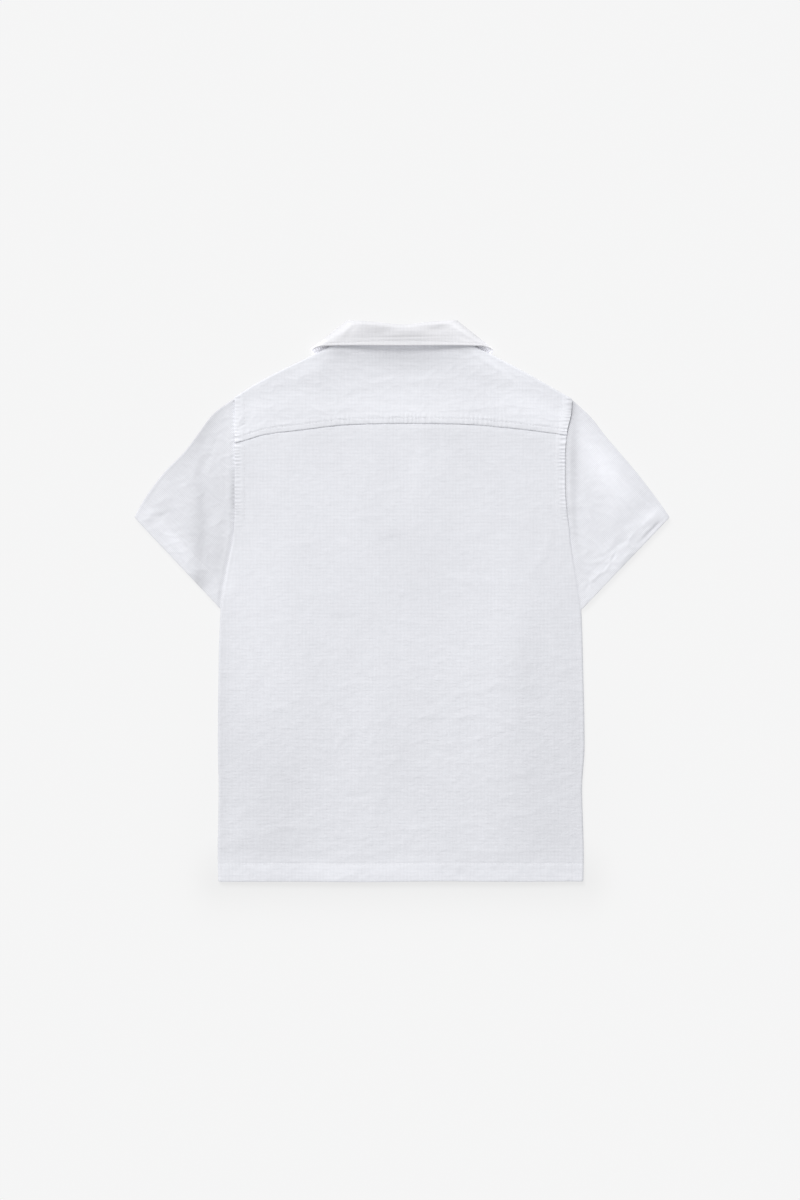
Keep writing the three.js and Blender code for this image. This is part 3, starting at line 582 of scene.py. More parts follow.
def yoke_face(x, y):
    """Outer face of the yoke, whose seam edge is rolled under and stitched."""
    from_seam = y - yoke_line(x)
    gathered = 0.45 + 0.55 * smooth(x, -80, -40) * fade(x, 95, 125)
    creases = relief(YOKE_CREASES, x, y) + relief(YOKE_CRUMPLES, x, y) + crease_net(x, y, 22, 30, 16, 0.3)
    roll = -YOKE_ROLL * fade(from_seam, 0, 1.2)
    roll = roll + YOKE_RISE * fade(from_seam, YOKE_STITCH, YOKE_STITCH + 7)
    gathers = puckers(x, from_seam, YOKE_STITCH + 5, 0.4, 4.3) * gathered
    rows = groove(from_seam, YOKE_STITCH, YOKE_GROOVE) + gathers
    return back_base(x, y) + edge_calm(x, y) * creases + roll + rows + body_sewing(x, y)


def front_sewing(x, y):
    """Relief of the sewing on the fronts, pressed into the cloth from below."""
    sewing = -body_sewing(x, y) - hem_relief(y - hem_line(x), x, BODY_HEM)
    return UNDERSIDE + np.minimum(sewing, UNDERSIDE) * FRONT_SEWING


def left_front_face(x, y):
    """Outer face of the left front, which faces the surface that the shirt lies on."""
    creases = np.abs(relief(LEFT_FRONT_CRUMPLES, x, y)) * edge_calm(x, y)
    return front_lift(x, y) + creases + front_sewing(x, y)


def right_front_face(x, y):
    """Outer face of the right front, which laps over the left one at the button stand."""
    lap = (WALL + SEAM_GAP) * fade(x, STAND_HALF + SEAM_GAP, STAND_HALF + STAND_SLOPE)
    creases = np.abs(relief(RIGHT_FRONT_CRUMPLES, x, y)) * edge_calm(x, y)
    return front_lift(x, y) + lap + creases + front_sewing(x, y)


# Grids and shells
def unit(vectors):
    """The vectors at length 1."""
    return vectors / np.linalg.norm(vectors, axis=-1, keepdims=True)


def grid_normals(points, ring):
    """Unit normals of a grid of points."""
    down = np.gradient(points, axis=0)
    if ring:
        across = np.roll(points, -1, axis=1) - np.roll(points, 1, axis=1)
    else:
        across = np.gradient(points, axis=1)
    normal = np.cross(across, down)
    return normal / np.maximum(np.linalg.norm(normal, axis=2, keepdims=True), 1e-9)


def grid_faces(rows, columns, ring, start):
    """Quads of a grid, whose first point has the number start."""
    strips = columns if ring else columns - 1
    i, j = np.meshgrid(np.arange(rows - 1), np.arange(strips), indexing="ij")
    after = (j + 1) % columns
    corners = [i * columns + j, i * columns + after, (i + 1) * columns + after, (i + 1) * columns + j]
    return start + np.stack(corners, axis=-1).reshape(-1, 4)


def rim_faces(edge, other, closed):
    """Quads between matching edges of two grids."""
    after_edge, after_other = np.roll(edge, -1), np.roll(other, -1)
    faces = np.stack([edge, after_edge, after_other, other], axis=-1)
    return faces if closed else faces[:-1]


def add_mesh(name, points, faces, material=None, flat=False):
    """Object from points in millimetres and faces as lists of their numbers."""
    mesh = bpy.data.meshes.new(name)
    mesh.from_pydata((np.asarray(points, float) * MM).tolist(), [], faces)
    mesh.polygons.foreach_set("use_smooth", [not flat] * len(mesh.polygons))
    if material:
        mesh.materials.append(material)
    piece = bpy.data.objects.new(name, mesh)
    bpy.context.scene.collection.objects.link(piece)
    return piece


def set_attribute(piece, name, values):
    """Gives each point of a piece a value that its material reads."""
    piece.data.attributes.new(name, "FLOAT", "POINT").data.foreach_set("value", values)


def shell(name, outer, inner, material, ring, tone_and_shade, rumple):
    """Closed shell between two matching grids, with its brightness (painted light and shade included) and
    its rumple as attributes.
    """
    rows, columns = outer.shape[:2]
    count = rows * columns
    number = np.arange(count).reshape(rows, columns)
    faces = [grid_faces(rows, columns, ring, 0), grid_faces(rows, columns, ring, count)[:, ::-1]]
    faces.append(rim_faces(number[0], number[0] + count, ring)[:, ::-1])
    faces.append(rim_faces(number[-1], number[-1] + count, ring))
    if not ring:
        faces.append(rim_faces(number[:, 0], number[:, 0] + count, False))
        faces.append(rim_faces(number[:, -1], number[:, -1] + count, False)[:, ::-1])
    points = np.concatenate([outer.reshape(-1, 3), inner.reshape(-1, 3)])
    faces = np.concatenate(faces)
    a, b, c, d = (points[faces[:, k]] for k in range(4))
    volume = np.einsum("ij,ij->", a, np.cross(b, c)) + np.einsum("ij,ij->", a, np.cross(c, d))
    if volume < 0:
        faces = faces[:, ::-1]
    piece = add_mesh(name, points, faces.tolist(), material)
    set_attribute(piece, "tone_and_shade", np.tile(tone_and_shade.reshape(-1), 2))
    set_attribute(piece, "rumple", np.tile(rumple.reshape(-1), 2))
    return piece


def facing(normals, direction):
    """Turns normals over if they point away from one direction, or from those of their last rows."""
    checked = normals[-len(direction):] if np.ndim(direction) > 1 else normals
    return normals if np.sum(checked * direction) > 0 else -normals


def turned_hem(points, normals, rows):
    """Puts a turned-up hem before a grid's first row: its inside layer, then the fold round the edge."""
    tucked = points[rows:0:-1] - HEM_DEPTH * normals[rows:0:-1]
    outwards = unit(points[0] - points[1])
    centre = points[0] - normals[0] * HEM_DEPTH / 2
    fold = [
        centre + HEM_DEPTH / 2 * (normals[0] * -math.cos(angle) + outwards * math.sin(angle))
        for angle in np.linspace(0, math.pi, HEM_FOLD_ROWS + 1)[:-1]
    ]
    return np.concatenate([tucked, fold, points])


def with_hem_rows(values, rows):
    """Values on a grid, repeated on the rows that a turned-up hem puts before it."""
    return np.concatenate([values[rows:0:-1], np.repeat(values[:1], HEM_FOLD_ROWS, axis=0), values])


def cloth_shell(name, points, outwards, material, ring, hem_rows, tone_and_shade, rumple):
    """Shell of cloth below a grid, with a turned-up hem before its first row where it has hem rows."""
    normals = facing(grid_normals(points, ring), outwards)
    if hem_rows:
        points = turned_hem(points, normals, hem_rows)
        normals = facing(grid_normals(points, ring), outwards)
        tone_and_shade, rumple = with_hem_rows(tone_and_shade, hem_rows), with_hem_rows(rumple, hem_rows)
    return shell(name, points, points - CLOTH * normals, material, ring, tone_and_shade, rumple)


# Panels
def edge_steps(places):
    """Steps across a panel: one edge's rounding, shares of the middle, and the other edge's rounding."""
    seam_angle = math.asin(SEAM_GAP / 2 / FOLD_RADIUS)
    arc = np.linspace(seam_angle, math.pi / 2, 8)[:-1]
    edge = np.concatenate([-np.ones(len(arc)), np.zeros(len(places)), np.ones(len(arc))])
    angle = np.concatenate([arc, np.full(len(places), math.pi / 2), arc[::-1]])
    share = np.concatenate([np.zeros(len(arc)), places, np.ones(len(arc))])
    return edge, angle, share


def place_steps(steps, start, end):
    """Places of an edge's steps between a start and an end."""
    edge, angle, share = steps
    inset = FOLD_RADIUS * (1 - np.cos(angle))
    middle = start + FOLD_RADIUS + (end - start - 2 * FOLD_RADIUS) * share
    return np.where(edge < 0, start + inset, np.where(edge > 0, end - inset, middle))


def shares_between(*spans):
    """Shares from 0 to 1 with a step of its own in each span of (end, step)."""
    places = [0.0]
    for end, step in spans:
        count = max(1, round((end - places[-1]) / step))
        places.extend(np.linspace(places[-1], end, count + 1)[1:])
    return np.array(places)


def shares_up(low_step, high_step, high_from):
    """Shares of a panel's length, finest in its hem, with another step from a share on upwards."""
    hem = (BODY_HEM + 3) / BODY_LENGTH
    low, high = low_step / BODY_LENGTH, high_step / BODY_LENGTH
    return shares_between((hem, 1.3 / BODY_LENGTH), (high_from, low), (1.0, high))


def shares_across(width, fine, coarse):
    """Shares across a panel, finer in the bands beside its two sides."""
    band = SIDE_BAND / width
    return shares_between((band, fine / width), (1 - band, coarse / width), (1.0, fine / width))


def panel_points(low, high, left, right, columns, rows, folds, face, down):
    """Grid of a panel's outer face, with its folded edges turned towards mid height."""
    column_steps = edge_steps(columns)
    row_steps = edge_steps(rows)
    keep = row_steps[0] >= 0
    row_steps = tuple(values[keep][:, None] for values in row_steps)
    column_steps = tuple(values[None, :] for values in column_steps)

    def height_on(x):
        return place_steps(row_steps, low(x) - FOLD_RADIUS, high(x))

    left_x = left(height_on(left(0.0)))
    right_x = right(height_on(right(0.0)))
    x = place_steps(column_steps, left_x, right_x)
    y = height_on(x)
    left_fold, right_fold, top_fold = folds
    fold = np.where(column_steps[0] < 0, left_fold(x, y), right_fold(x, y))
    side_turn = FOLD_RADIUS * (1 - np.sin(column_steps[1])) * fold
    top_turn = FOLD_RADIUS * (1 - np.sin(row_steps[1])) * top_fold(x, y)
    z = face(x, y) - down * (side_turn + top_turn)
    return np.stack(np.broadcast_arrays(x, y, z), axis=-1)


def side_fold(x, y):
    """Share of a side's folded edge: 1 along the side seam, 0 along the armhole."""
    return fade(y, UNDERARM_Y - UNDERARM_BLEND, UNDERARM_Y)


def shoulder_fold(x, y):
    """Share of the shoulder's folded edge: 1 along the shoulder, 0 at the neck."""
    return smooth(np.abs(x), NECK_HALF, NECK_HALF + NECK_BLEND)


def plain_edge(x, y):
    """No fold: the edge is cut and hidden in a seam or a hem."""
    return np.zeros(np.broadcast(x, y).shape)


def level_edge(x):
    """Straight edge of a front, as a function of height."""
    return lambda y: x + 0 * np.asarray(y, float)


def body_tone_and_shade(x, y):
    """Tone of the body: its patches, the paler hem and armhole bands, painted light and shade on the armhole
    puckers, and a painted highlight along the right armhole's edge.
    """
    hem_band = HEM_TONE * fade(y - hem_line(x), BODY_HEM - 2, BODY_HEM + 2)
    inside = np.minimum(x - left_side(y), right_side(y) - x)
    armhole_band = ARMHOLE_TONE * fade(inside, 6, 12) * smooth(y, 80, 100)
    uneven = 0.55 + 0.45 * np.sin(y / 5.3) * np.sin(y / 2.9 + 1)
    open_part = smooth(y, 84, 104)
    shifted = y + RIGHT_SHIFT * (x > 0)
    # painted light on the puckers' crests and painted shade in their gaps
    ladder = uneven * puckers(shifted, inside + LADDER_START, LADDER_REACH, PAINTED_LADDER_SHADING) * open_part
    # painted highlight along the right armhole's edge, where the rolled edge turns from the light
    lit_edge = LIT_EDGE_TONE * fade(right_side(y) - x, 0.5, 3) * open_part
    lit_edge = lit_edge * fade(y, 184, 192)
    return relief(TONE_AND_SHADE_PATCHES, x, y) + hem_band + armhole_band + ladder + lit_edge


def body_rumple(y):
    """How rumpled the cloth is: more in the lower half."""
    return 0.55 + 0.45 * fade(y, -120, 60) * smooth(y, -270, -240)


def panel(name, points, direction, hem_rows, material):
    """Shell of a panel of the body, below the grid of its outer face."""
    x, y = points[..., 0], points[..., 1]
    return cloth_shell(name, points, direction, material, False, hem_rows, body_tone_and_shade(x, y), body_rumple(y))


def back_panel(material):
    """The back below the yoke."""
    points = panel_points(
        hem_line, lambda x: yoke_line(x) + SEAM_LAP, left_side, right_side,
        shares_across(width=365, fine=1.25, coarse=2.3),
        shares_up(low_step=2.35, high_step=1.05, high_from=0.79),
        (side_fold, side_fold, plain_edge), back_face, down=1,
    )
    return panel("back_panel_cloth", points, UP, PANEL_HEM_ROWS, material)


def yoke(material):
    """The yoke, whose first rows carry its face on down to the seam's edge."""
    points = panel_points(
        lambda x: yoke_line(x) + SEAM_GAP / 2 + FOLD_RADIUS, back_top_line, left_side, right_side,
        shares_across(width=340, fine=1.1, coarse=1.25), shares_between((0.15, 0.008), (1.0, 0.015)),
        (side_fold, side_fold, shoulder_fold), yoke_face, down=1,
    )
    first = points[:1].copy()
    first[..., 1] -= FOLD_RADIUS
    start = np.concatenate([first + (points[:1] - first) * share for share in (0, 0.25, 0.5, 0.75)])
    start[..., 2] = yoke_face(start[..., 0], start[..., 1])
    return panel("back_yoke_cloth", np.concatenate([start, points]), UP, 0, material)


def front(name, left, right, folds, face, material):
    """One front, from its two side lines, folds and outer face."""
    points = panel_points(
        hem_line, front_top_line, left, right,
        shares_across(width=195, fine=1.6, coarse=2.8),
        shares_up(low_step=3.0, high_step=2.4, high_from=0.75),
        folds, face, down=-1,
    )
    return panel(name, points, DOWN, PANEL_HEM_ROWS, material)


def left_front(material):
    folds = (side_fold, plain_edge, shoulder_fold)
    return front("left_front_cloth", left_side, level_edge(STAND_HALF), folds, left_front_face, material)


def right_front(material):
    folds = (plain_edge, side_fold, shoulder_fold)
    return front("right_front_cloth", level_edge(-STAND_HALF), right_side, folds, right_front_face, material)


# Sleeves
def sleeve_plan(rings, side, outwards, crumpled):
    """What a sleeve's functions share: its folds by station, armhole by height, side and small creases."""
    stations = dict(rings, t=np.arange(len(rings["x"]), dtype=float))

    def armhole_x(y):
        raised = smooth(y, UNDERARM_Y, UNDERARM_Y + UNDERARM_BLEND)
        tuck = UNDERARM_TUCK + (ARMHOLE_TUCK - UNDERARM_TUCK) * raised
        return side(y) + outwards * (SEAM_GAP - tuck)

    return SimpleNamespace(
        last=len(rings["x"]) - 1,
        upper_x=curve_through(stations, "t", "x"),
        upper_y=curve_through(stations, "t", "y"),
        under_y=curve_through(stations, "t", "under"),
        armhole_x=armhole_x,
        outwards=outwards,
        crumples=crumpled,
    )


LEFT_SLEEVE = sleeve_plan(LEFT_RINGS, left_side, -1, LEFT_CRUMPLES)
RIGHT_SLEEVE = sleeve_plan(RIGHT_RINGS, right_side, 1, RIGHT_CRUMPLES)


def sleeve_hem(plan):
    """A sleeve's hem line: its start at the underarm, directions along it and inwards, and its length."""
    start = np.array([plan.armhole_x(plan.under_y(0)), plan.under_y(0)])
    end = np.array([plan.upper_x(0), plan.upper_y(0)])
    length = np.linalg.norm(end - start)
    along = (end - start) / length
    inwards = np.array([-along[1], along[0]])
    return start, along, inwards * np.sign(inwards[1]), length


def hem_places(plan, x, y):
    """Distance inwards from a sleeve's hem line, and distance along it."""
    start, along, inwards, _ = sleeve_hem(plan)
    from_x, from_y = x - start[0], y - start[1]
    return from_x * inwards[0] + from_y * inwards[1], from_x * along[0] + from_y * along[1]


def sleeve_relief(plan, x, y):
    """Creases of a sleeve's upper layer, and the relief of its sewing."""
    rise, along = hem_places(plan, x, y)
    from_armhole = plan.outwards * (x - plan.armhole_x(y))
    creases = relief(FOLDS, x, y) + relief(SLEEVE_CREASES, x, y) + relief(plan.crumples, x, y)
    creases = creases + crease_net(x, y, 23, 28, 20, 0.42)
    seam = -SLEEVE_SLOPE * fade(from_armhole, 1.5, 7) - SLEEVE_DIP * fade(from_armhole, 0, 3)
    seam = seam + puckers(y, from_armhole, 6, 0.25) * smooth(y, UNDERARM_Y, UNDERARM_Y + 20)
    return creases, SLEEVE_SEWING * hem_relief(rise, along, SLEEVE_HEM) + seam


def sleeve_rings(plan):
    """Rings of a flattened sleeve: places, distance from the underarm fold, width, and level, 1 on top."""
    t = np.concatenate([
        np.linspace(0, 1, SLEEVE_HEM_STATIONS)[:-1], np.linspace(1, plan.last, SLEEVE_STATIONS),
    ])[:, None]
    under = np.concatenate([plan.armhole_x(plan.under_y(t)), plan.under_y(t)], axis=1)
    upper = np.concatenate([plan.upper_x(t), plan.upper_y(t)], axis=1)
    width = np.linalg.norm(upper - under, axis=1)[:, None]
    arc = np.linspace(-math.pi / 2, math.pi / 2, SLEEVE_ARC_STEPS + 1)[1:-1]
    flat = np.linspace(0, 1, SLEEVE_RING_STEPS + 1)
    flat_distance = FOLD_RADIUS + flat * (width - 2 * FOLD_RADIUS)
    upper_fold = width - FOLD_RADIUS + FOLD_RADIUS * np.cos(arc)
    under_fold = FOLD_RADIUS - FOLD_RADIUS * np.cos(-arc) + 0 * width
    distance = np.concatenate([flat_distance, upper_fold, flat_distance[:, ::-1], under_fold], axis=1)
    level = np.concatenate([0 * flat, (1 + np.sin(arc)) / 2, 1 + 0 * flat, (1 - np.sin(arc)) / 2])[None, :]
    share = distance / width
    x = under[:, :1] + (upper[:, :1] - under[:, :1]) * share
    y = under[:, 1:] + (upper[:, 1:] - under[:, 1:]) * share
    x = x + (plan.armhole_x(y[-1:]) - x[-1:]) * (t / plan.last) ** ARMHOLE_HUG
    return x, y, distance, width, level


def sleeve_tone_and_shade(plan, x, y, from_upper_fold, level):
    """Tone of a sleeve: its patches, its pale hem, painted shade in the gaps along its armhole with painted
    light beside the left one, and painted shade along its upper rim.
    """
    rise, _ = hem_places(plan, x, y)
    from_armhole = plan.outwards * (x - plan.armhole_x(y))
    is_left = plan.outwards < 0
    hem = SLEEVE_HEM_TONE * fade(rise, SLEEVE_HEM - 2, SLEEVE_HEM + 2)
    # painted shade in the gaps between the armhole's puckers, and painted light beside the left sleeve's
    # armhole
    gaps = 0.5 + 0.5 * np.sin(2 * math.pi * y / PUCKER_PITCH + 0.8 * np.sin(y / 5))
    lit = LIT_SLEEVE_TONE * smooth(y, 120, 140) * is_left
    armhole = (lit - GAP_SHADE * gaps) * fade(from_armhole, 2, 5.5) * smooth(y, 84, 96) * level
    # painted shade along the sleeve's upper rim
    rim = (LEFT_RIM_SHADE if is_left else RIGHT_RIM_SHADE) * fade(from_upper_fold, 1, 5)
    return hem + relief(TONE_AND_SHADE_PATCHES, x, y) + armhole - rim


def sleeve(name, plan, material):
    """A sleeve as one flattened tube with a turned-up hem. Its underarm fold lies along the body's side."""
    x, y, distance, width, level = sleeve_rings(plan)
    creases, sewing = sleeve_relief(plan, x, y)
    calm = smooth(np.minimum(distance, width - distance), FOLD_RADIUS, FOLD_RADIUS + EDGE_CALM)
    top = LAY_FLAT + creases * calm + sewing * smooth(distance, 0, 4) * smooth(width - distance, 0, 4)
    bottom = UNDERSIDE + np.abs(relief(plan.crumples, x, y)) * calm
    bottom = bottom - np.clip(sewing, -LOWER_SEWING, LOWER_SEWING)
    points = np.stack([x, y, bottom + (top - bottom) * level], axis=-1)
    outwards = points - points.mean(axis=1, keepdims=True)
    tone_and_shade = sleeve_tone_and_shade(plan, x, y, width - distance, level)
    rumple = np.full(tone_and_shade.shape, SLEEVE_RUMPLE)
    return cloth_shell(name, points, outwards, material, True, SLEEVE_HEM_ROWS, tone_and_shade, rumple)


# Collar
def collar_stations():
    """All collar stations from the left leaf round the back to the right leaf, with more between them."""
    mirrored = {
        name: (-values if name in ("seamX", "rollX", "edgeX") else values)[:-1][::-1]
        for name, values in COLLAR_STATIONS.items()
    }
    joined = {name: np.concatenate([COLLAR_STATIONS[name], mirrored[name]]) for name in mirrored}
    last = len(joined["seamX"]) - 1
    joined["t"] = np.arange(last + 1, dtype=float)
    t = np.linspace(0, last, last * COLLAR_BETWEEN + 1)
    return {name: curve_through(joined, "t", name)(t) for name in mirrored}


def collar_middle():
    """Middle line of the folded collar at each station: points and the direction out of the fold."""
    at = collar_stations()
    half = WALL + SEAM_GAP / 2
    seam = np.stack([at["seamX"], at["seamY"], at["seamZ"]], axis=-1)
    roll = np.stack([at["rollX"], at["rollY"], at["seamZ"]], axis=-1)
    edge = np.stack([at["edgeX"], at["edgeY"], at["edgeZ"]], axis=-1)
    rise = unit(roll - seam)
    side = np.where(at["seamX"] < 0, -1, 1)
    sideways = np.stack([side * rise[:, 1], -side * rise[:, 0], 0 * side], axis=-1)
    lean = np.radians(at["lean"])[:, None]
    over = sideways * np.sin(lean) + np.array([0, 0, 1]) * np.cos(lean)
    bend = at["bend"][:, None]
    start = seam + rise * SEAM_START
    stand_end = roll - rise * (bend + half)
    fall_start = stand_end + over * 2 * bend
    points, outs = [], []
    for share in np.linspace(0, 1, STAND_STEPS + 1)[:-1]:
        points.append(start + (stand_end - start) * share)
        outs.append(-over)
    for angle in np.linspace(0, math.pi, ROLL_STEPS + 1):
        out = -over * math.cos(angle) + rise * math.sin(angle)
        points.append(stand_end + over * bend + out * bend)
        outs.append(out)
    fall = unit(edge - fall_start)
    fall_out = unit(over - fall * np.sum(over * fall, axis=1, keepdims=True))
    for share in np.linspace(0, 1, FALL_STEPS + 1)[1:]:
        points.append(fall_start + (edge - fall_start) * share)
        outs.append(fall_out)
    return np.stack(points, axis=1), np.stack(outs, axis=1)


def collar_relief(points, outs):
    """Creases and stitch groove of the collar's outer side, its flare, and the distance from its edge."""
    from_edge = np.linalg.norm(points - points[:, -1:], axis=2)
    from_tip = np.linalg.norm(points - points[:1], axis=2)
    other_tip = np.linalg.norm(points - points[-1:], axis=2)
    fall = np.zeros(points.shape[:2])
    fall[:, -FALL_STEPS:] = 1
    upwards = np.clip(outs[..., 2], 0, 1)
    creases = relief(COLLAR_CREASES, points[..., 0], points[..., 1]) * upwards
    inside_tips = smooth(np.minimum(from_tip, other_tip), 1, 4)
    stitch = groove(from_edge, COLLAR_STITCH, STITCH_GROOVE, 0.8) * inside_tips
    middle = fade(np.abs(points[..., 0]), 30, 76)
    flare = COLLAR_FLARE * fade(from_edge, 0, 15) * middle * upwards
    return creases + stitch * fall, flare, from_edge


def collar_tone_and_shade(x, y, upwards):
    """Tone of the collar: its patches, painted light on the tips' faces that turn from the light, and
    painted shade in the roll of its fold.
    """
    # painted light on the tips' faces turned from the light, and painted shade on the roll
    tips = smooth(np.abs(x), 64, 78) * smooth(y, 240, 246) * fade(y, 253, 258)
    rolled = upwards * (1 - upwards) * 4 * smooth(y, 258, 264)
    return relief(COLLAR_TONE_AND_SHADE_PATCHES, x, y) * upwards + PAINTED_TIP_LIGHT * (1 - upwards) * tips - ROLL_SHADE * rolled


def collar(material):
    """Upper and under collar, each a shell on its side of the collar's middle line, and rows of stitches."""
    points, outs = collar_middle()
    detail, flare, from_edge = collar_relief(points, outs)
    points = points + outs * flare[..., None]
    rounding = np.sqrt(np.clip(1 - (1 - np.clip(from_edge / COLLAR_EDGE, 0, 1)) ** 2, 0, 1))
    gap = SEAM_GAP / 2
    far = (gap + EDGE_WALL + (WALL - EDGE_WALL) * rounding + detail)[..., None]
    near = np.maximum(far - COLLAR_CLOTH, gap)
    under_far = (gap + EDGE_WALL + (COLLAR_CLOTH - EDGE_WALL) * rounding)[..., None]
    tone_and_shade = collar_tone_and_shade(points[..., 0], points[..., 1], np.clip(outs[..., 2], 0, 1))
    faces = {
        "upper_collar_cloth": (points + outs * far, points + outs * near),
        "under_collar_cloth": (points - outs * under_far, points - outs * gap),
    }
    rumple = tone_and_shade + COLLAR_RUMPLE
    shells = [shell(name, *sides, material, False, tone_and_shade, rumple) for name, sides in faces.items()]
    return *shells, collar_stitches(points, outs, far)


# Stitches
def capsule_rows(places, directions, ups):
    """Points and faces of many small stitches, each a bent capsule dipping into the cloth at its ends."""
    sides, stations = 6, 5
    share = np.linspace(-1, 1, stations)
    lift = STITCH_RADIUS * (1.0 - 1.6 * share**2)
    thick = STITCH_RADIUS * np.sqrt(np.clip(1 - 0.75 * share**4, 0.05, 1))
    across = np.cross(ups, directions)
    angle = np.linspace(0, 2 * math.pi, sides, endpoint=False)
    ring = (
        places[:, None, None] + directions[:, None, None] * (share * STITCH_LENGTH / 2)[None, :, None, None]
        + ups[:, None, None] * (lift[:, None] + thick[:, None] * np.sin(angle))[None, :, :, None]
        + across[:, None, None] * (thick[:, None] * np.cos(angle))[None, :, :, None]
    )
    each = stations * sides
    sheath = grid_faces(stations, sides, True, 0).tolist()
    start_cap = list(range(sides - 1, -1, -1))
    end_cap = list(range(each - sides, each))
    starts = range(0, each * len(places), each)
    faces = [[start + corner for corner in face] for start in starts for face in sheath]
    faces += [[start + corner for corner in cap] for start in starts for cap in (start_cap, end_cap)]
    return ring.reshape(-1, 3), faces


def stitch_places(line):
    """Evenly spaced stitches along a line of points: their places and directions."""
    travelled = np.concatenate([[0], np.cumsum(np.linalg.norm(np.diff(line, axis=0), axis=1))])
    count = max(1, int(travelled[-1] // STITCH_PITCH))
    at = (np.arange(count) + 0.5) * travelled[-1] / count

    def points_at(distance):
        return np.stack([np.interp(distance, travelled, line[:, k]) for k in range(3)], axis=-1)

    return points_at(at), unit(points_at(at + STITCH_LENGTH / 2) - points_at(at - STITCH_LENGTH / 2))


def add_stitches(name, rows, material):
    """One joined mesh of rows of stitches, each a line of points and the direction out of the cloth."""
    points, faces = [], []
    for line, up in rows:
        place, direction = stitch_places(line)
        ups = np.broadcast_to(np.asarray(up, float), place.shape)
        ups = unit(ups - direction * np.sum(ups * direction, axis=1, keepdims=True))
        row_points, row_faces = capsule_rows(place, direction, ups)
        start = len(points)
        points.extend(row_points)
        faces.extend([start + corner for corner in face] for face in row_faces)
    return add_mesh(name, points, faces, material)


def line_on(face, x, y):
    """Points on a face of the cloth."""
    x, y = np.broadcast_arrays(np.asarray(x, float), np.asarray(y, float))
    return np.stack([x, y, face(x, y)], axis=-1)


def row_across(face, line, above, ends, count, up):
    """Row of stitches at a distance above a line, between two ends in X."""
    x = np.linspace(*ends, count)
    return line_on(face, x, line(x) + above), up


def row_along(face, line, beside, ends, count, up):
    """Row of stitches at a distance beside a line, between two ends in Y."""
    y = np.linspace(*ends, count)
    return line_on(face, line(y) + beside, y), up


def body_stitches():
    """Rows of stitches on the back, the yoke and the fronts."""
    sides = ((left_side, ARMHOLE_STITCH, left_front_face), (right_side, -ARMHOLE_STITCH, right_front_face))
    rows = [
        row_across(yoke_face, yoke_line, YOKE_STITCH, YOKE_ROW, 300, UP),
        row_across(back_face, hem_line, BODY_HEM, HEM_ROW, 300, UP),
    ]
    for side, inside, _ in sides:
        rows.append(row_along(back_face, side, inside, BACK_ARMHOLE_ROW, 80, UP))
        rows.append(row_along(yoke_face, side, inside, YOKE_ARMHOLE_ROW, 80, UP))
    rows.append(row_across(left_front_face, hem_line, BODY_HEM, (HEM_ROW[0], STAND_HALF), 160, DOWN))
    rows.append(row_across(right_front_face, hem_line, BODY_HEM, (STAND_HALF, HEM_ROW[1]), 160, DOWN))
    for stand_x in (STAND_HALF - 2, -STAND_HALF):
        rows.append(row_along(left_front_face, level_edge(stand_x), 0, STAND_ROW, 300, DOWN))
    for side, inside, face in sides:
        rows.append(row_along(face, side, inside, FRONT_ARMHOLE_ROW, 120, DOWN))
    return rows


def sleeve_stitches(plan):
    """Row of stitches round a sleeve's hem, on both layers."""
    start, along, inwards, length = sleeve_hem(plan)
    distance = np.linspace(11, length - 5, 120)[:, None]
    x, y = (start + along * distance + inwards * SLEEVE_HEM).T
    creases, sewing = sleeve_relief(plan, x, y)
    top = np.stack([x, y, LAY_FLAT + creases + sewing], axis=-1)
    bottom = np.stack([x, y, BOTTOM_STITCH + 0 * x], axis=-1)
    return [(top, UP), (bottom, DOWN)]


def collar_stitches(points, outs, far):
    """Rows of stitches beside the collar's outer edge, in short stretches that turn with its upper side."""
    from_edge = np.linalg.norm(points - points[:, -1:], axis=2)
    column = np.argmin(np.abs(from_edge - COLLAR_STITCH), axis=1)
    row = np.arange(len(column))
    line = (points + outs * far)[row, column]
    ups = outs[row, column]
    first, stretch = 4, 11
    starts = range(first, len(line) - stretch - 1, stretch)
    return [(line[start:start + stretch + 1], ups[start + stretch // 2 + 1]) for start in starts]


# Materials
def set_inputs(tree, node, inputs):
    """Sets a node's inputs to values, or links them to other nodes' outputs."""
    for key, value in inputs.items():
        if isinstance(value, bpy.types.NodeSocket):
            tree.links.new(value, node.inputs[key])
        else:
            node.inputs[key].default_value = value


def add_node(tree, kind, inputs=None, output=0, **settings):
    """Output of a new node with its inputs and settings."""
    node = tree.nodes.new(kind)
    for key, value in settings.items():
        setattr(node, key, value)
    set_inputs(tree, node, inputs or {})
    return node.outputs[output]


def maths(tree, operation, *values):
    """Output of arithmetic on values or other outputs."""
    return add_node(tree, "ShaderNodeMath", dict(enumerate(values)), operation=operation)


def bump(tree, height, strength, distance, **normal):
    """Bumped normal, on top of another one where it is given as Normal."""
    inputs = {"Height": height, "Strength": strength, "Distance": distance, **normal}
    return add_node(tree, "ShaderNodeBump", inputs)


def scaled_colour(tree, colour, shade):
    """Colour times a brightness."""
    return add_node(tree, "ShaderNodeVectorMath", {0: colour, "Scale": shade}, operation="SCALE")


def attribute(tree, name):
    """Value that the mesh gives each point under a name."""
    return add_node(tree, "ShaderNodeAttribute", output="Fac", attribute_name=name)


def new_material(name):
    """Material, its node tree and its shader."""
    material = bpy.data.materials.new(name)
    material.use_nodes = True
    return material, material.node_tree, material.node_tree.nodes["Principled BSDF"]


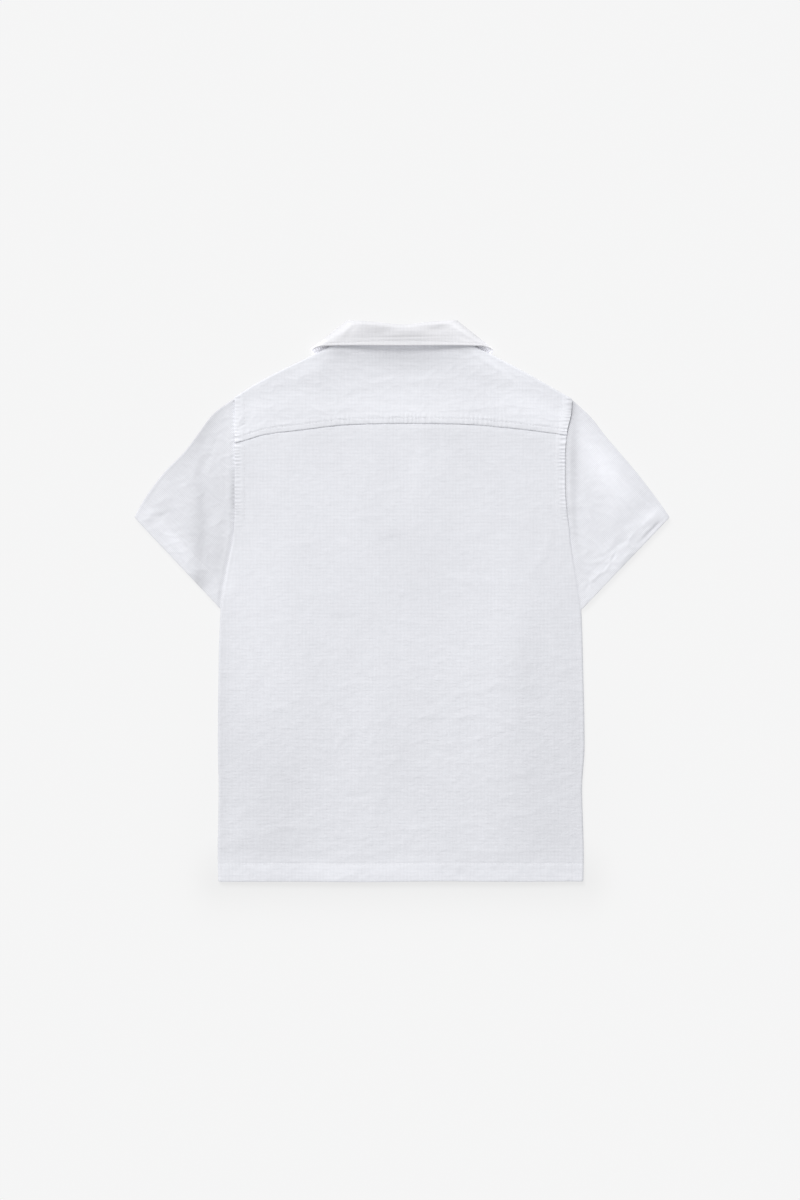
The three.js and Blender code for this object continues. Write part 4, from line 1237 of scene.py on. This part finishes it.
def stretched_noise(tree, vector, scale, detail=2.0, roughness=0.5):
    """Noise with its own number of lumps per metre along each axis."""
    mapping = add_node(tree, "ShaderNodeMapping", {"Vector": vector, "Scale": scale})
    inputs = {"Vector": mapping, "Scale": 1.0, "Detail": detail, "Roughness": roughness}
    return add_node(tree, "ShaderNodeTexNoise", inputs, "Fac")


def threads(tree, vector, direction):
    """Threads in one direction as a wave, uneven in width."""
    inputs = {
        "Vector": vector, "Scale": math.pi / 10 / THREAD_PITCH,
        "Distortion": 1.2, "Detail": 1.0, "Detail Scale": 0.4,
    }
    wave = add_node(tree, "ShaderNodeTexWave", inputs, "Fac", wave_type="BANDS", bands_direction=direction)
    return maths(tree, "MULTIPLY_ADD", wave, 2.0)


def linen(name, colour, turn=0):
    """Plain-woven linen with slubs, fine rumples and changes of brightness, which include the painted light
    and shade that its mesh carries. Turn is its grain's, in degrees.
    """
    material, tree, shader = new_material(name)
    place = add_node(tree, "ShaderNodeTexCoord", output="Object")
    grain = add_node(tree, "ShaderNodeMapping", {"Vector": place, "Rotation": (0, 0, math.radians(turn))})
    weave = maths(tree, "MULTIPLY", threads(tree, grain, "X"), threads(tree, grain, "Y"))
    across_slubs = maths(tree, "MULTIPLY", stretched_noise(tree, grain, (90, 560, 60), 3.0, 0.65), 0.52)
    down_slubs = maths(tree, "MULTIPLY", stretched_noise(tree, grain, (520, 80, 60), 3.0, 0.65), 0.48)
    slubs = maths(tree, "ADD", across_slubs, down_slubs)
    rumple = stretched_noise(tree, grain, (95, 170, 90), 3.0, 0.55)
    broad = stretched_noise(tree, grain, (15, 8, 10))
    shade = maths(tree, "MULTIPLY_ADD", slubs, 0.2, 0.9)
    shade = maths(tree, "ADD", shade, maths(tree, "MULTIPLY", weave, 0.03))
    shade = maths(tree, "ADD", shade, attribute(tree, "tone_and_shade"))
    shade = maths(tree, "ADD", shade, maths(tree, "MULTIPLY_ADD", broad, 0.08, -0.04))
    folded = maths(tree, "ABSOLUTE", maths(tree, "MULTIPLY_ADD", rumple, 2.0, -1.0))
    rumpled = maths(tree, "MULTIPLY", folded, attribute(tree, "rumple"))
    normal = bump(tree, rumpled, 1.0, 0.00045)
    normal = bump(tree, slubs, 0.8, 0.0003, Normal=normal)
    normal = bump(tree, weave, 0.35, 0.00006, Normal=normal)
    set_inputs(tree, shader, {
        "Base Color": scaled_colour(tree, colour, shade), "Roughness": 0.88, "Normal": normal,
        "Specular IOR Level": 0.25, "Sheen Weight": 0.15, "Sheen Roughness": 0.5,
    })
    return material


def plain_material(name, colour, roughness, lumps, bump_height):
    """Slightly mottled smooth material, for thread and buttons, with its lumps per metre."""
    material, tree, shader = new_material(name)
    place = add_node(tree, "ShaderNodeTexCoord", output="Object")
    grain = stretched_noise(tree, place, (lumps, lumps, lumps))
    shade = maths(tree, "MULTIPLY_ADD", grain, 0.08, 0.96)
    set_inputs(tree, shader, {
        "Base Color": scaled_colour(tree, colour, shade), "Roughness": roughness,
        "Normal": bump(tree, grain, 0.5, bump_height),
    })
    return material


# Buttons
def turned_solid(profile, sides, centre):
    """Points and faces of a solid turned about an upright axis, from its profile of radii and heights."""
    angle = np.linspace(0, 2 * math.pi, sides, endpoint=False)
    points = []
    for radius, z in profile:
        radius = max(radius, LEAST_RADIUS)
        points += [(centre[0] + radius * math.cos(a), centre[1] + radius * math.sin(a), z) for a in angle]
    faces = grid_faces(len(profile), sides, True, 0).tolist()
    faces.append(list(range(sides - 1, -1, -1)))
    faces.append(list(range(len(points) - sides, len(points))))
    return points, faces


def hole_cutter(y):
    """Four rods through a button's holes, as one mesh."""
    points, faces = [], []
    rod = [(HOLE_RADIUS, -1), (HOLE_RADIUS, BUTTON_THICK + 1)]
    for quarter in range(4):
        turn = math.pi / 4 + quarter * math.pi / 2
        centre = (HOLE_FROM_MIDDLE * math.cos(turn), HOLE_FROM_MIDDLE * math.sin(turn) + y)
        rod_points, rod_faces = turned_solid(rod, HOLE_SIDES, centre)
        faces += [[corner + len(points) for corner in face] for face in rod_faces]
        points += rod_points
    return add_mesh("holes", points, faces, flat=True)


def button_piece(name, y, material):
    """Four-hole button with a rim, its face towards the surface that the shirt lies on."""
    piece = add_mesh(name, *turned_solid(BUTTON_PROFILE, BUTTON_SIDES, (0, y)), material, flat=True)
    cutter = hole_cutter(y)
    modifier = piece.modifiers.new("holes", "BOOLEAN")
    modifier.object = cutter
    modifier.operation = "DIFFERENCE"
    modifier.solver = "EXACT"
    graph = bpy.context.evaluated_depsgraph_get()
    cut = bpy.data.meshes.new_from_object(piece.evaluated_get(graph))
    piece.modifiers.clear()
    piece.data = cut
    bpy.data.objects.remove(cutter)
    return piece


# Build the shirt
body_linen = linen("body linen", BODY_COLOUR)
left_linen = linen("left sleeve linen", BODY_COLOUR, SLEEVE_GRAIN)
right_linen = linen("right sleeve linen", BODY_COLOUR, -SLEEVE_GRAIN)
collar_linen = linen("collar linen", COLLAR_COLOUR)
thread = plain_material("thread", THREAD_COLOUR, 0.7, 900, 0.00004)
shell_button = plain_material("button", BUTTON_COLOUR, 0.3, 260, 0.00002)

back = back_panel(body_linen)
back_yoke = yoke(body_linen)
fronts = [left_front(body_linen), right_front(body_linen)]
sleeves = [
    sleeve("left_sleeve_cloth", LEFT_SLEEVE, left_linen),
    sleeve("right_sleeve_cloth", RIGHT_SLEEVE, right_linen),
]
upper, under, collar_rows = collar(collar_linen)
stitch_pieces = [
    add_stitches("body_stitches", body_stitches(), thread),
    add_stitches("sleeve_stitches", sleeve_stitches(LEFT_SLEEVE) + sleeve_stitches(RIGHT_SLEEVE), thread),
    add_stitches("collar_stitches", collar_rows, thread),
]
buttons = [button_piece(f"sewn_button_{k + 1}", y, shell_button) for k, y in enumerate(BUTTON_Y)]

# Bodies and replaced solids, with each piece's cut, which is listed but not used: width, length, share of
# that rectangle, and what it rests on
FRONT_CLOTHS = ["left_front_cloth", "right_front_cloth"]
CUTS = [
    (back, "back_panel", 372, 480, 0.96, FRONT_CLOTHS),
    (back_yoke, "back_yoke", 344, 104, 0.72, FRONT_CLOTHS),
    (fronts[0], "left_front", 197, 560, 0.86, []),
    (fronts[1], "right_front", 195, 560, 0.86, []),
    (sleeves[0], "left_sleeve", 276, 134, 0.86, []),
    (sleeves[1], "right_sleeve", 276, 134, 0.86, []),
    (upper, "upper_collar", 350, 62, 0.9, ["back_yoke_cloth"]),
    (under, "under_collar", 340, 58, 0.9, ["upper_collar_cloth"]),
]
for piece, node, width, length, share, rests_on in CUTS:
    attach(piece, "root")
    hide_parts(node)
for piece in stitch_pieces:
    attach(piece, "root")
for k, piece in enumerate(buttons):
    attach(piece, "root")
    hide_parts(f"button_{k + 1}")


# Stage, light and camera
def floor_shade(x, y):
    """Faint soft shadow of the shirt, painted into the floor below its hem and beside its sides."""
    beyond_x = np.maximum(np.maximum(HEM_LEFT - x, x - HEM_RIGHT), 0)
    beyond_y = np.maximum(HEM_Y - y, 0)
    below = np.exp(-((beyond_y / 27) ** 1.6)) * np.exp(-((beyond_x / 24) ** 2))
    below = below * fade(y, HEM_Y - 5, HEM_Y + 60)
    beside = np.exp(-((np.hypot(beyond_x, beyond_y) / 42) ** 2)) * fade(y, -230, 20)
    return np.maximum(SHADE_BELOW * below, SHADE_BESIDE * beside)


def floor():
    """Pale surface that glows a little, less so where the shirt's shadow is painted into its glow."""
    lines_x = np.concatenate([[-FLOOR_REACH], np.linspace(*FLOOR_FINE_X), [FLOOR_REACH]])
    lines_y = np.concatenate([[-FLOOR_REACH], np.linspace(*FLOOR_FINE_Y), [FLOOR_REACH]])
    x, y = (values.T for values in np.meshgrid(lines_x, lines_y, indexing="ij"))
    material, tree, shader = new_material("floor")
    light = maths(tree, "SUBTRACT", 1.0, attribute(tree, "shade"))
    set_inputs(tree, shader, {
        "Base Color": (FLOOR_ALBEDO, FLOOR_ALBEDO, FLOOR_ALBEDO, 1), "Roughness": 1, "Specular IOR Level": 0,
        "Emission Color": scaled_colour(tree, (1, 1, 1), light), "Emission Strength": FLOOR_GLOW,
    })
    points = np.stack([x, y, 0 * x], axis=-1).reshape(-1, 3)
    plane = add_mesh("floor", points, grid_faces(*x.shape, False, 0).tolist(), material)
    set_attribute(plane, "shade", floor_shade(x, y).reshape(-1))
    plane.location.z = -FLOOR_DROP * MM


def lights():
    """Even pale surroundings, and one soft distant light from above the collar."""
    world = bpy.data.worlds.new("studio")
    world.use_nodes = True
    background = world.node_tree.nodes["Background"]
    background.inputs["Color"].default_value = WORLD_COLOUR
    background.inputs["Strength"].default_value = WORLD_LIGHT
    bpy.context.scene.world = world
    data = bpy.data.lights.new("key", "SUN")
    data.angle = math.radians(KEY_SPREAD)
    data.energy = KEY_LIGHT
    light = bpy.data.objects.new("key", data)
    light.rotation_euler = Vector(KEY_FROM).to_track_quat("Z", "Y").to_euler()
    bpy.context.scene.collection.objects.link(light)


def camera():
    """Camera straight above, whose frame is one millimetre per pixel of an 800 by 1200 picture."""
    data = bpy.data.cameras.new("camera")
    data.lens = LENS
    data.sensor_width = SENSOR
    data.clip_end = CAMERA_FAR
    viewer = bpy.data.objects.new("camera", data)
    viewer.location = (CAMERA_X, CAMERA_Y, CLOTH_HEIGHT + FRAME_HEIGHT * LENS / SENSOR)
    bpy.context.scene.collection.objects.link(viewer)
    bpy.context.scene.camera = viewer


floor()
lights()
camera()
bpy.context.scene.view_settings.view_transform = "Standard"
